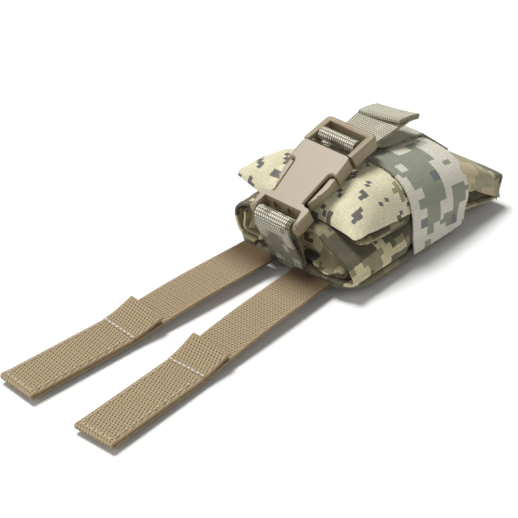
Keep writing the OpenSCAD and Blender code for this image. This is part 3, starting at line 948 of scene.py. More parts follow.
@dataclass
class Stitching:
    """A run of stitches as small spindles along a line."""

    name: str
    length: float
    radius: float
    places: list[tuple[Vector, Vector]] = field(default_factory=list)

    def run(self, line: Line, pitch: float) -> None:
        """Adds a stitch every pitch along a line.

        Args:
            line: where the seam runs.
            pitch: spacing of the stitches.
        """
        count = max(int(span(line) / pitch), 1)
        spots = even(line, 2 * count)
        for i in range(1, 2 * count, 2):
            self.places.append((spots[i], (spots[i + 1] - spots[i - 1]).normalized()))

    def build(self) -> bpy.types.Object:
        """Makes all the stitches as one piece.

        Returns:
            The piece.
        """
        made = bmesh.new()
        for i, (spot, heading) in enumerate(self.places):
            turn = heading.to_track_quat("X", "Z").to_matrix().to_4x4()
            wide = self.radius * (1 + 0.12 * ((i * 37) % 7 - 3) / 3)
            stretch = Matrix.Diagonal((self.length / 2, wide, self.radius * 0.8, 1.0))
            bmesh.ops.create_uvsphere(
                made, u_segments=6, v_segments=5, radius=1.0, matrix=Matrix.Translation(spot) @ turn @ stretch
            )
        return new_object(self.name, made)


@dataclass
class SubAssembly:
    """Pieces that are built together, and what they share with the others."""

    layout: Layout
    finishes: Finishes


@dataclass
class BackPanel(SubAssembly):
    """The back panel, its bound edge and the two webbing rows on its outer face."""

    front_corner: float = 18.0
    rear_corner: float = 12.0
    rim: float = 0.9
    tape_w: float = 6.0
    tape_seam: float = 4.4
    tape_wave: float = 0.25
    row_dip: float = 0.25
    row_seam: float = 11.0
    row_seam_x: float = 1.2

    def build(self) -> None:
        """Makes the panel's pieces."""
        self.panel()
        self.binding()
        self.row("webbing_row_front", 0.0)
        self.row("webbing_row_rear", self.layout.web_pitch)

    def outline(self, grow: float, z: float) -> Line:
        """Gives the rounded outline of the panel as a closed line.

        Args:
            grow: how far outside the panel's edge it runs.
            z: its height.

        Returns:
            The line, with its first point again at its end.
        """
        lay = self.layout
        middle = (lay.panel_front + lay.panel_rear) / 2
        half_w = lay.panel_half + grow
        half_l = (lay.panel_rear - lay.panel_front) / 2 + grow
        points = []
        for sx, sy, start in ((1, -1, -90), (1, 1, 0), (-1, 1, 90), (-1, -1, 180)):
            r = (self.front_corner if sy < 0 else self.rear_corner) + grow
            corner = arc((sx * (half_w - r), middle + sy * (half_l - r)), r, start=start, sweep=90, count=10)
            points += [Vector((x, y, z)) for x, y in corner]
        return points + [points[0].copy()]

    def panel(self) -> None:
        """Makes the padded panel."""
        lay = self.layout
        made = bmesh.new()
        bmesh.ops.create_cube(made, size=1.0)
        size = (2 * lay.panel_half, lay.panel_rear - lay.panel_front, lay.panel_top - lay.panel_z)
        bmesh.ops.scale(made, vec=size, verts=made.verts)
        middle = (0, (lay.panel_front + lay.panel_rear) / 2, (lay.panel_z + lay.panel_top) / 2)
        bmesh.ops.translate(made, vec=middle, verts=made.verts)
        upright = [e for e in made.edges if abs(e.verts[0].co.z - e.verts[1].co.z) > 1]
        for radius, front in ((self.front_corner, True), (self.rear_corner, False)):
            corners = [e for e in upright if e.is_valid and (e.verts[0].co.y < 0) == front]
            bevel(made, corners, radius, segments=10)
        bevel(made, [e for e in made.edges if e.calc_face_angle(0) > 1.0], self.rim, segments=3)
        piece = new_object("panel_pad", made)
        dress(piece, self.finishes.panel, Slot.CLOTH, "pouch", "back_panel")

    def binding(self) -> None:
        """Makes the tape that is folded over the edge all the way round."""
        lay = self.layout
        half = lay.tape_t / 2
        low, high = lay.panel_z - half, lay.panel_top + half
        fold = [(-self.tape_w, 0.0), (-3.0, 0.0), (-0.7, 0.1), (half, 0.9)]
        section = [(grow, low + rise) for grow, rise in fold]
        section.append((half + 0.15, (low + high) / 2))
        section += [(grow, high - rise) for grow, rise in reversed(fold)]
        stations = [list(line) for line in zip(*(even(self.outline(grow, z), 200) for grow, z in section))]
        for line in stations:
            wave = self.tape_wave * ripple(line[4], size=9.0, seed=3)
            for point in line[3:6]:
                point.z += wave
        piece = Loft("binding_tape", stations, columns=14, thickness=lay.tape_t, closed=True).build()
        dress(piece, self.finishes.binding, Slot.BINDING, "pouch", "edge_binding")
        stitches = Stitching("binding_stitches", length=2.0, radius=0.22)
        stitches.run(self.outline(-self.tape_seam, high + half + 0.05), pitch=3.0)
        dress(stitches.build(), self.finishes.tan_thread, Slot.BINDING, "pouch")

    def row(self, node: str, y: float) -> None:
        """Makes one webbing row, sewn down at its ends and in its middle.

        Args:
            node: the CAD node.
            y: the place along the pouch.
        """
        lay = self.layout
        half = lay.panel_half
        line = []
        for t in shares(60):
            x = half * (2 * t - 1)
            near = max(bell(x / 3.5), ease((abs(x) - half + 8) / 6))
            line.append(Vector((x, y, lay.web_t / 2 + self.row_dip * near)))
        # the map starts 40 mm along, so the painted root shade stays off the row
        piece = ribbon(f"{node}_strip", line, yz(-1, 0), lay.web_w, lay.web_t, offset=40)
        dress(piece, self.finishes.coyote, Slot.COYOTE, "pouch", node)
        stitches = Stitching(f"{node}_stitches", length=2.0, radius=0.25)
        for x in (-self.row_seam_x, self.row_seam_x):
            stitches.run([Vector((x, y + end, 0.3)) for end in (-self.row_seam, self.row_seam)], pitch=2.7)
        dress(stitches.build(), self.finishes.tan_thread, Slot.COYOTE, "pouch")


@dataclass
class AttachmentStrap(SubAssembly):
    """One strap with its folded tip and its lock tab."""

    side: Side
    length: float = 169.0
    tip: float = 66.0
    splay: float = 3.1
    arch: float = 3.5
    tuck: float = 1.0
    tab_length: float = 20.5
    tab_rise: float = 13.0
    tab_twist: float = 0.8
    stiffener: float = 0.6
    overlap: float = 0.5
    seam_in: float = 0.5
    seam_pitch: float = 2.75
    seam_waver: float = 0.9
    rim_in: float = 2.4
    rim_from: float = 4.0
    rim_to: float = 3.0
    rim_pitch: float = 2.7

    def __post_init__(self) -> None:
        """Works out the strap's own directions and its places along it."""
        lay = self.layout
        turn = math.radians(self.splay) * self.side.value
        self.along = Vector((math.sin(turn), -math.cos(turn), 0))
        self.across = Vector((math.cos(turn), math.sin(turn), 0))
        lean = lay.web_w / 2 * math.sin(math.radians(self.splay))
        start_y = lay.panel_front - lay.tape_t - lay.gap - lay.web_t / 2 - lean
        self.start = Vector((self.side.value * lay.web_pitch / 2, start_y, 0))
        self.root_z = lay.deck_z - lay.web_t / 2
        self.free = self.length - self.tip
        self.upper_z = lay.web_t * 1.5 + self.stiffener
        self.hinge = self.free - lay.gap - lay.web_t / 2
        self.strap_name = f"strap_{self.side.word}"
        self.tab_name = f"lock_tab_{self.side.word}"

    def at(self, s: float, z: float, u: float = 0.0) -> Vector:
        """A point at a distance along the strap, at a height and at a place across."""
        return self.start + self.along * s + self.across * u + yz(0, z)

    def height(self, s: float) -> float:
        """Height of the middle of the lower layer.

        Args:
            s: the distance along the strap.

        Returns:
            The height.
        """
        t = min(max(s, 0.0) / self.free, 1.0)
        half = self.layout.web_t / 2
        return half + (self.root_z - half) * (1 - t) ** 3 + self.arch * math.sin(math.pi * t)

    def build(self) -> None:
        """Makes the strap's pieces."""
        self.strap()
        self.lock_tab()
        self.stitches()
        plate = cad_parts[f"stiffener_{self.side.word}"]
        plate.data.materials.clear()
        plate.data.materials.append(self.finishes.sheet)

    def strap(self) -> None:
        """Makes the run, the turned tip and the upper layer as one webbing."""
        lay = self.layout
        half = lay.web_t / 2
        bend = (self.upper_z - half) / 2
        end = self.length - bend - half
        back = end - self.hinge - self.overlap
        points = [(end * t - self.tuck * (1 - t), self.height(end * t)) for t in shares(96)]
        points += arc((end, half + bend), bend, start=-90, sweep=180, count=8)[1:]
        turned = (len(points) - 1) / (len(points) + 40)
        points += [(end - back * t, self.upper_z) for t in shares(40)[1:]]
        piece = ribbon(
            f"{self.strap_name}_webbing", [self.at(s, z) for s, z in points], self.across, lay.web_w,
            lay.web_t, columns=16,
            shift=lambda a, b: (0, 0, -self.stiffener * abs(a) ** 10 * ease((b - turned) * 40))
        )
        dress(piece, self.finishes.coyote, Slot.COYOTE, self.strap_name, self.strap_name)

    def lock_tab(self) -> None:
        """Makes the free end of the tip, a little twisted."""
        lay = self.layout
        steps = 20
        stride = (self.tab_length + self.overlap) / steps
        s, z = self.hinge + self.overlap, self.upper_z
        line = [self.at(s, z)]
        for t in shares(steps)[1:]:
            slope = math.radians(self.tab_rise * (0.35 + 0.95 * ease(t * 1.4)))
            s -= stride * math.cos(slope)
            z += stride * math.sin(slope)
            line.append(self.at(s, z))
        # the map starts 40 mm along, so the painted root shade stays off the tab
        piece = ribbon(
            f"{self.tab_name}_webbing", line, self.across, lay.web_w, lay.web_t,
            shift=lambda a, b: (0, 0, -self.tab_twist * a * b * b), offset=40
        )
        dress(piece, self.finishes.coyote, Slot.COYOTE, self.tab_name, self.tab_name)

    def stitches(self) -> None:
        """Sews the tip: a white seam at the tab, and its own colour round the edge."""
        lay = self.layout
        top = self.upper_z + lay.web_t / 2 + 0.1
        edge, inner = lay.web_w / 2 - self.seam_in, lay.web_w / 2 - self.rim_in
        seam = Stitching(f"tab_seam_{self.side.word}", length=3.0, radius=0.55)
        line = []
        for u in (edge * (2 * t - 1) for t in shares(12)):
            waver = self.seam_waver * ripple(Vector((u, 0, 0)), size=4.0, seed=3)
            line.append(self.at(self.hinge - 0.4 + waver, top + 0.2, u))
        seam.run(line, pitch=self.seam_pitch)
        dress(seam.build(), self.finishes.white_thread, Slot.COYOTE, self.strap_name)
        rim = Stitching(f"tip_stitches_{self.side.word}", length=2.5, radius=0.42)
        near, far = self.free + self.rim_from, self.length - self.rim_to
        places = ((near, -inner), (far, -inner), (far, inner), (near, inner))
        corners = [self.at(s, top, u) for s, u in places]
        for pair in zip(corners, corners[1:]):
            rim.run(list(pair), pitch=self.rim_pitch)
        dress(rim.build(), self.finishes.tan_thread, Slot.COYOTE, self.strap_name)


@dataclass(frozen=True)
class Fold:
    """A corner of cloth that points out of the roll's mouth."""

    x: float
    z: float
    tall: float
    reach: float
    wide: float
    lean: float

    def height(self, x: float, z: float) -> float:
        """How far the cloth stands out at a place in the mouth: most at the corner's tip.

        Args:
            x, z: the place.

        Returns:
            The height.
        """
        a = math.radians(self.lean)
        along = (x - self.x) * math.sin(a) + (z - self.z) * math.cos(a)
        across = (x - self.x) * math.cos(a) - (z - self.z) * math.sin(a)
        away = math.hypot(across, 0.6) / self.wide + (along if along > 0 else -3 * along) / self.reach
        return self.tall * max(0.0, 1 - away)


@dataclass
class Roll(SubAssembly):
    """The rolled cloth: two turns and the core, open at the front."""

    cloth_t: float = 1.5
    cover_t: float = 2.2
    turn_gap: float = 1.3
    turn_step: float = 2.5
    tucked_h: float = 6.0
    cover_mouth: tuple[float, float] = (-14.0, 4.0)
    turn_mouth: tuple[float, float] = (-20.0, 0.0)
    core_setback: float = 8.0
    edge: float = 0.45
    hem: float = 0.4
    hem_w: float = 2.6
    droop: float = 0.5
    pull: float = 0.9
    lip_back: float = 1.9
    lip_out: float = 3.2
    slump_left: float = 1.2
    bulge_right: float = 3.8
    bulge_left: float = 1.9
    tuck_left: float = 4.0
    relief_h: float = 0.7
    steps: tuple[float, ...] = (
        0, 0.4, 0.9, 1.6, 2.2, 2.7, 3.1, 3.6, 4.3, 5.5, 7.5, 10, 13, 17, 22, 28, 35, 44, 54, 66, 80
    )
    folds: tuple[Fold, ...] = (
        Fold(x=25.0, z=7.0, tall=12.5, reach=20.0, wide=12.0, lean=42.0),
        Fold(x=35.0, z=10.0, tall=7.0, reach=14.0, wide=4.5, lean=-10.0),
        Fold(x=-33.5, z=7.5, tall=12.0, reach=14.0, wide=5.0, lean=-35.0),
        Fold(x=-22.0, z=7.5, tall=11.0, reach=14.0, wide=7.5, lean=15.0),
    )

    def build(self) -> None:
        """Makes the roll's pieces."""
        self.turn("roll_outer_turn", "roll_cover", 0, self.cover_mouth)
        self.turn("roll_inner_turn", "roll_turn", 1, self.turn_mouth)
        self.core()

    def oval(self, a: float, inset: float, slack: float) -> Vector:
        """A point on the roll's section at an angle, with Y left at zero.

        Args:
            a: the angle.
            inset: how far inside the roll's surface it lies.
            slack: how much closer its bottom lies to the turn outside it.

        Returns:
            The point.
        """
        lay = self.layout
        c, s = math.cos(a), math.sin(a)
        power = lay.roll_power_low if s < 0 else lay.roll_power
        half_h = (lay.roll_top - lay.roll_z) / 2
        x = (lay.roll_half - inset) * signed(c, 2 / power)
        z = (half_h - inset + slack / 2) * signed(s, 2 / power)
        return Vector((x, 0, lay.roll_z + half_h - slack / 2 + z))

    def turn(self, name: str, node: str, depth: int, mouth: tuple[float, float]) -> None:
        """Makes one turn of cloth, with its edges tucked in below and a hem at its front.

        Args:
            name: the piece's name.
            node: the CAD node.
            depth: 0 for the outer turn, 1 for the next.
            mouth: where its edges part below, from and to along X.
        """
        lay = self.layout
        inset = depth * (self.cover_t + self.turn_gap) + self.cloth_t / 2
        slack = depth * (self.turn_gap - lay.gap)
        low = lay.roll_z + self.tucked_h
        section = [self.oval(math.radians(-90 + 360 * i / 240), inset, slack) for i in range(241)]
        section = [p for p in section if not (p.z < low and mouth[0] < p.x < mouth[1])]
        first = next(i for i, p in enumerate(section) if p.x >= mouth[1] and p.z < low)
        section = even(section[first:] + section[:first], 240)
        front = lay.roll_front + depth * self.turn_step
        ys = [front + s for s in self.steps] + [lay.roll_rear]
        stations = [[self.on_turn(p, y, front, depth) for p in section] for y in ys]
        piece = Loft(name, stations, columns=150, thickness=self.cloth_t, edge=self.edge).build()
        dress(piece, self.finishes.roll, Slot.CLOTH, "pouch", node)
        flat = (span(section) * MM, (lay.roll_rear - front) * MM)

    def on_turn(self, p: Vector, y: float, front: float, depth: int) -> Vector:
        """Where a point of a turn's section comes to lie at a place along the roll.

        Args:
            p: a point of the section.
            y: the place along the roll.
            front: where the turn starts.
            depth: which turn it is.

        Returns:
            The point.
        """
        lay = self.layout
        out = (p - yz(0, (lay.roll_z + lay.roll_top) / 2)).normalized()
        hem = self.hem * bell((y - front - self.hem_w) / self.edge)
        droop = self.droop * ripple(Vector((p.x, y * 0.6, p.z)), size=14.0, seed=5 + depth)
        pull = self.pull * ripple(Vector((p.x, 0, p.z)), size=18.0, seed=8 + depth)
        pull *= math.exp(-(y - front) / 9)
        flat = ease((p.z - lay.roll_z) / 4)
        lip = self.lip(p) * math.exp(-(y - front) / 12)
        swell = self.swell(p, y, front) if depth == 0 else 0.0
        move = Vector((swell, y + pull * flat - lip, -self.slump(p, y, front)))
        place = p + out * (hem + (droop - self.droop) * flat) + move
        place.y = move.y
        return place

    def lip(self, p: Vector) -> float:
        """How far the roll's lower lip comes out, over the panel's front edge beside the webbing.

        Args:
            p: a point of the section.

        Returns:
            The distance to the front.
        """
        lay = self.layout
        beside = max(ease((p.x - 13) / 4), ease((-p.x - 15) / 4)) * (1 - ease((abs(p.x) - 33) / 8))
        low = 1 - ease(lay.roll_level(p.z) * 2.4)
        return (lay.roll_front - lay.panel_front - self.lip_back + self.lip_out * beside) * low

    def slump(self, p: Vector, y: float, front: float) -> float:
        """How far the upper corners sink: the right one up to the band, the left one at the open end."""
        left = self.slump_left * ease((-p.x - 12) / 22) * bell((y - front) / 9)
        return (self.layout.shoulder(p.x, y) + left) * ease(self.layout.roll_level(p.z) * 1.3)

    def swell(self, p: Vector, y: float, front: float) -> float:
        """How far the outer turn stands out: full over the panel's edge, tucked at the front left.

        Args:
            p: a point of the section.
            y: the place along the roll.
            front: where the turn starts.

        Returns:
            The move along X.
        """
        level = self.layout.roll_level(p.z)
        side = ease((abs(p.x) - 28) / 12)
        free = 1 - ease((y - self.layout.band_front + 7) / 5)
        if p.x > 0:
            return self.bulge_right * bell((level - 0.2) / 0.36) * free * side
        tuck = self.tuck_left * (1 - level) ** 2 * math.exp(-(y - front) / 13)
        return (tuck - self.bulge_left * bell((level - 0.35) / 0.33) * free) * side

    def relief(self, x: float, z: float) -> float:
        """How far the folded cloth in the roll's mouth stands out to the front."""
        return self.relief_h * math.sin(0.3 * x + 0.75 * z) + max(fold.height(x, z) for fold in self.folds)

    def core(self) -> None:
        """Makes the folded cloth in the middle, with corners that point out of its ends."""
        lay = self.layout
        inset = 1.5 * (self.cover_t + self.turn_gap)
        slack = 2 * (self.turn_gap - lay.gap)
        front = lay.roll_front + self.core_setback
        length = lay.roll_rear - front
        middle = yz(0, (lay.roll_z + lay.roll_top) / 2 - slack / 2)
        rim = even([self.oval(TURN * i / 240, inset, slack) for i in range(241)], 200)
        rings = [(grow, 0.0) for grow in shares(48)]
        rings += [(1.0, length * t) for t in (0.03, 0.08, 0.16, 0.3, 0.5, 0.75, 1.0)] + [(0.0, length)]

        def place(spot: Vector, grow: float, back: float) -> Vector:
            """Places a point of the rim in a ring.

            Args:
                spot: the point of the rim.
                grow: size of the ring, 1 at the rim.
                back: how far behind the core's front it lies.

            Returns:
                The point.
            """
            p = middle + (spot - middle) * grow
            rise = self.relief(p.x, p.z) * (1 - ease((grow - 0.93) / 0.07)) if back == 0 else 0.0
            rise += self.lip(p) * (1 - ease(back / 20))
            return Vector((p.x, front + back - rise, p.z - self.slump(p, front + back, front)))

        stations = [[place(spot, *ring) for spot in rim] for ring in rings]
        piece = Loft("roll_core_cloth", stations, columns=200, closed=True).build()
        dress(piece, self.finishes.core, Slot.CLOTH, "pouch", "roll_core")


@dataclass
class TopFlap(SubAssembly):
    """The folded flap on the roll, with a wing to the left and its layers open on the right."""

    left: float = 50.5
    right: float = 38.0
    spread: float = 2.4
    edge: float = 4.0
    power: float = 6.0
    wing_slope: float = 0.26
    wing_from: float = 30.0
    wing_end: float = 6.0
    nose_l: float = 7.0
    setback: float = 10.0
    layer_w: float = 12.0
    layer_front: float = 4.4
    layer_rear: float = 8.6
    tuck_in: float = 3.5
    crease: float = 0.9
    wrinkle: float = 0.35
    pinch: float = 0.7
    sink: float = 0.35
    side_in: float = 2.6
    side_deep: float = 3.4

    @property
    def front(self) -> float:
        """Place of the flap's front edge."""
        return self.layout.roll_front + self.setback

    def nose(self, y: float) -> float:
        """Rounding of the front edge, from 0 to 1."""
        return root(1 - (1 - min(max(y - self.front, 0.0) / self.nose_l, 1.0)) ** 2, 2)

    def reach(self, y: float) -> tuple[float, float]:
        """Left and right ends of the flap at a place along it.

        Args:
            y: the place along the pouch.

        Returns:
            The two ends along X.
        """
        lay = self.layout
        tucked = lay.roll_half - self.tuck_in
        t = ease((lay.band_front - 1 - y) / (lay.band_front - self.front - 9))
        left = tucked + (self.left - tucked) * t * (0.9 + 0.1 * self.nose(y))
        spread = self.spread * ease((y - self.front) / (lay.band_front - self.front))
        return -left, self.right + spread - 3 * (1 - self.nose(y))

    def under(self, x: float, y: float) -> float:
        """Height of the flap's underside.

        Args:
            x, y: the place.

        Returns:
            The height.
        """
        lay = self.layout
        lie = lay.roll_surface(x)
        if x > -self.wing_from:
            return lie + lay.gap
        wing = lay.roll_surface(self.wing_from) - self.wing_slope * (x + self.wing_from)
        return lay.gap + lie + (wing - lie) * ease((lay.band_front - 1 - y) / self.wing_end)

    def depth(self, y: float) -> float:
        """Thickness of the flap at its crest.

        Args:
            y: the place along the pouch.

        Returns:
            The thickness.
        """
        lay = self.layout
        top = min(lay.flap_top, lay.under_buckle(y) - lay.gap, lay.band_top(y) - lay.gap)
        return top - lay.roll_top - lay.gap

    def thick(self, x: float, y: float, s: float) -> float:
        """Thickness of the flap at a place.

        Args:
            x, y: the place.
            s: the place across, from -1 to 1.

        Returns:
            The thickness.
        """
        lay = self.layout
        swell = root(1 - abs(s) ** self.power, 2)
        full = max(self.edge * self.nose(y), self.depth(y) * self.nose(y) * swell)
        if y < lay.band_front - 1:
            return full
        return max(0.5, min(full, lay.band_inside(x, y) - 2 * lay.gap - self.under(x, y)))

    def build(self) -> None:
        """Makes the flap as one closed, softly creased form, and the layer under its edge."""
        piece = Loft("flap_cloth", grid(64, 160, self.surface), columns=150, closed=True).build()
        modify(piece, "smooth", "SUBSURF", levels=1, render_levels=1)
        dress(piece, self.finishes.flap, Slot.CLOTH, "pouch", "top_flap")
        piece = Loft("flap_lower_layer", grid(32, 56, self.layer), columns=56, closed=True).build()
        dress(piece, self.finishes.roll, Slot.CLOTH, "pouch")

    def surface(self, t: float, k: float) -> Vector:
        """Places a point of the flap.

        Args:
            t: the share along it.
            k: the share round its section.

        Returns:
            The point.
        """
        lay = self.layout
        y = self.front + (lay.roll_rear - self.front) * t ** 1.35
        left, right = self.reach(y)
        close = self.nose(y) if y < lay.band_front else min((lay.roll_rear - y) / 1.5, 1.0)
        a = TURN * k
        s = math.cos(a)
        x = (left + right) / 2 + (right - left) / 2 * s
        thick = self.thick(x, y, s) * min(close * 1.6, 1.0)
        side = math.copysign(root(1 - abs(s) ** 8, 2), math.sin(a))
        z = self.under(x, y) + thick * (0.5 + 0.5 * side)
        free = 1 - ease((y - lay.band_front + 4) / 4)
        crease = self.crease * ripple(Vector((x * 1.1, y * 0.55, z)), size=12.0, seed=21)
        crease += self.wrinkle * ripple(Vector((x, y, z)), size=4.5, seed=22)
        crease -= self.pinch * (1 - abs(ripple(Vector((x + y, (x - y) * 0.3, 0)), size=16.0, seed=23))) ** 8
        lift = crease * free * min(thick / 4, 1.0) - self.sink * free
        return Vector((x - self.groove(s, a, y) * free, y, z + lift))

    def layer(self, t: float, k: float) -> Vector:
        """Places a point of the layer that is folded back under the flap's right edge.

        Args:
            t: the share along it.
            k: the share round its section.

        Returns:
            The point.
        """
        lay = self.layout
        start, end = self.front + 4, lay.band_front + 4
        y = start + (end - start) * t
        grow = root(1 - (1 - min(6 * t, 1.0)) ** 2, 2) * min(1.0, 12 * (1 - t))
        out = self.reach(y)[1] - 0.4
        low = lay.roll_surface(out - 1.5) - lay.shoulder(out - 1.5, y)
        tall = (self.layer_front + (self.layer_rear - self.layer_front) * t) / 2
        half = self.layer_w / 2
        spot = Vector((half * signed(math.cos(TURN * k), 0.7), 0, tall * signed(math.sin(TURN * k), 0.7)))
        crease = 0.7 * ripple(Vector((spot.x, y * 0.6, spot.z)), size=6.0, seed=27)
        return Vector((out - half, y, low + tall)) + spot * (grow * (1 + 0.1 * crease))

    def groove(self, s: float, a: float, y: float) -> float:
        """Depth of the open fold between the layers along the right side.

        Args:
            s: the place across, from -1 to 1.
            a: the angle round the section.
            y: the place along the pouch.

        Returns:
            The depth.
        """
        if s < 0.5:
            return 0.0
        level = math.degrees(math.atan2(math.sin(a), math.cos(a)))
        depth = self.side_in * ease((4 - level) / 8) + self.side_deep * bell((level + 9) / 6.5)
        return depth * ease((y - self.front - 5) / 8)


@dataclass
class RearFold(SubAssembly):
    """The rest of the pouch, folded flat behind the roll: a sheet, an end wall and side folds."""

    thick: float = 1.4
    edge: float = 0.4
    turn: float = 2.2
    fold_setback: float = 9.0
    lean_in: float = 4.0
    recess: float = 4.5
    foot_z: float = 1.5
    lower_setback: float = 3.5
    sag: float = 0.6
    wave: float = 0.7
    wall_lean: float = 1.5
    wall_wave: float = 0.6
    gusset_wave: float = 0.7

    def build(self) -> None:
        """Makes the rear's pieces."""
        self.top_sheet()
        self.bottom_sheet()
        for side in Side:
            self.side_fold(side)
            self.side_gusset(side)

    def half_at(self, y: float) -> float:
        """Half the width of the rear at a place along it."""
        lay = self.layout
        return lay.roll_half - 1 + (lay.rear_half - lay.roll_half + 1) * ease(lay.rear_share(y))

    def edge_z(self, y: float) -> float:
        """Height of the top sheet's side edges.

        Args:
            y: the place along the pouch.

        Returns:
            The height.
        """
        lay = self.layout
        t = ease((y - lay.rear_from) / (lay.rear_end - lay.rear_from - 6))
        low = lay.rear_low + lay.rear_h - 1.0
        return low + (lay.rear_top(y) - low) * 0.12 * (1 - t)

    def sheet_line(self, y: float) -> Line:
        """One line across the top sheet, from its left edge to its right one.

        Args:
            y: the place along the pouch.

        Returns:
            The line.
        """
        lay = self.layout
        power = lay.band_power + 5 * ease(lay.rear_share(y))
        low, high = self.edge_z(y), lay.rear_top(y) - self.thick / 2
        free = ease((y - lay.band_rear) / 6)
        line = []
        for k in shares(60):
            a = math.pi * (1 - k)
            x = self.half_at(y) * signed(math.cos(a), 2 / power)
            sag = self.wave * ripple(Vector((x * 0.5, y, 0)), size=13.0, seed=31) - self.sag
            z = low + (high - low) * math.sin(a) ** (2 / power)
            line.append(Vector((x, y, z)) + yz(0, sag * free))
        return line

    def top_sheet(self) -> None:
        """Makes the sloping sheet and the end wall as one cloth, folded over at the rear."""
        lay = self.layout
        slope = lay.rear_end - self.thick / 2 - self.edge - self.turn - lay.rear_from
        stations = [self.sheet_line(lay.rear_from + slope * i / 30) for i in range(31)]
        last = stations[-1]
        for i in range(1, 7):
            a = math.radians(15 * i)
            bend = yz(self.turn * math.sin(a), -self.turn * (1 - math.cos(a)))
            stations.append([p + bend for p in last])
        rim = stations[-1]
        drop = rim[30].z - self.foot_z
        for t in shares(7)[1:]:
            lean = yz(-self.wall_lean * t * t, -drop * t)
            line = []
            for p in rim:
                wave = self.wall_wave * ripple(Vector((p.x, 0, t * 12)), size=12.0, seed=33) * t
                line.append(Vector((p.x * (1 - 0.03 * t), p.y, p.z)) + lean + yz(wave, 0))
            stations.append(line)
        piece = Loft("rear_sheet", stations, columns=60, thickness=self.thick, edge=self.edge).build()
        dress(piece, self.finishes.rear, Slot.CLOTH, "pouch", "rear_fold")
        length = span([line[30] for line in stations])
        span(stations[15]) * MM

    def bottom_sheet(self) -> None:
        """Makes the lower layer, which lies flat."""
        lay = self.layout
        start = lay.rear_from + 0.8
        length = lay.rear_end - self.lower_setback - start

        def place(t: float, k: float) -> Vector:
            """Places a point of the sheet.

            Args:
                t: the share along it.
                k: the share across it.

            Returns:
                The point.
            """
            y = start + length * t
            z = lay.roll_z + (self.foot_z - lay.roll_z) * ease(lay.rear_share(y)) + self.thick / 2
            return Vector(((self.half_at(y) - 1.2) * (2 * k - 1), y, z))

        piece = Loft("rear_lower_sheet", grid(16, 30, place), columns=30, thickness=self.thick).build()
        dress(piece, self.finishes.rear, Slot.CLOTH, "pouch")
        flat = (2 * self.half_at(80) * MM, length * MM)

    def side_fold(self, side: Side) -> None:
        """Makes the corner of the end wall, folded forward to a point under the top sheet's edge.

        Args:
            side: which side it is on.
        """
        lay = self.layout
        start, end = lay.band_rear + self.fold_setback, lay.rear_end - 1.3

        def place(t: float, down: float) -> Vector:
            """Places a point of the corner.

            Args:
                t: the share along it.
                down: the share down from its upper edge.

            Returns:
                The point.
            """
            y = start + (end - start) * t
            high = self.edge_z(y) - 0.8
            low = high + (self.foot_z - high) * max(t, 0.02)
            inward = 0.9 + 1.2 * (1 - t) + 1.2 * math.sin(math.pi * down) * t - 0.6 * down
            return Vector((side.value * (self.half_at(y) - inward), y, high + (low - high) * down))

        stations = grid(18, 8, place)
        piece = Loft(f"rear_corner_{side.word}", stations, columns=8, thickness=self.thick * 0.8).build()
        dress(piece, self.finishes.rear, Slot.CLOTH, "pouch")
        reach, drop = end - start, self.edge_z(end) - self.foot_z

    def side_gusset(self, side: Side) -> None:
        """Makes the gusset behind that corner, which leans in to a dark opening under the top sheet.

        Args:
            side: which side it is on.
        """
        lay = self.layout
        start, end = lay.rear_from + 0.6, lay.rear_end - 2.5

        def place(t: float, up: float) -> Vector:
            """Places a point of the gusset.

            Args:
                t: the share along it.
                up: the share up from its lower edge.

            Returns:
                The point.
            """
            y = start + (end - start) * t
            low = lay.roll_z + (self.foot_z - lay.roll_z) * ease((y - lay.rear_from) / 30) + 0.8
            crease = self.gusset_wave * ripple(yz(y + 12 * up, 16 * up), size=7.0, seed=41)
            inward = self.recess + self.lean_in * up ** 1.3 - crease
            high = low + (self.edge_z(y) - 1.4 - low) * up
            return Vector((side.value * (self.half_at(y) - inward), y, high))

        stations = grid(20, 12, place)
        piece = Loft(f"rear_gusset_{side.word}", stations, columns=12, thickness=self.thick * 0.8).build()
        # painted shade: the gusset is coloured with the darkened cloth
        dress(piece, self.finishes.shaded_gusset, Slot.CLOTH, "pouch")
        flat = (span(stations[10]) * MM, (end - start) * MM)


@dataclass
class ElasticBand(SubAssembly):
    """The wide elastic band over roll and flap."""

    overhang: float = 2.6
    run_in: float = 5.0
    dip: float = 0.35
    wave: float = 0.35
    flare: float = 1.1
    edge: float = 0.4

    def build(self) -> None:
        """Makes the band, which dips a little between its edges."""
        lay = self.layout
        length = lay.band_rear - lay.band_front

        def place(t: float, k: float) -> Vector:
            """Places a point of the band.

            Args:
                t: the share along it.
                k: the share over the pouch.

            Returns:
                The point.
            """
            y = lay.band_front + length * t
            out = lay.band_t / 2 + self.dip * math.sin(math.pi * t) - 0.2
            c, s = math.cos(math.pi * k), math.sin(math.pi * k)
            rise = (lay.band_top(y) - lay.deck_z + out) * s ** (2 / lay.band_power)
            x = (lay.band_side + out) * signed(c, 2 / lay.band_power)
            x += math.copysign(self.flare * (1 - ease(rise / 7)), c)
            wave = self.wave * ripple(Vector((x, 0, lay.deck_z + rise)), size=16.0, seed=51)
            wave *= 1 if t in (0.0, 1.0) else 0.6
            wave -= self.run_in * t * t * (1 - ease(rise / 14))
            return Vector((x, y + wave, lay.deck_z + rise))

        drop = yz(0, -self.overhang)
        stations = [[line[0] + drop, *line, line[-1] + drop] for line in grid(30, 120, place)]
        piece = Loft("elastic_strip", stations, columns=120, thickness=lay.band_t, edge=self.edge).build()
        dress(piece, self.finishes.elastic, Slot.ELASTIC, "pouch", "elastic_band")
        flat = (span(stations[15]) * MM, length * MM)


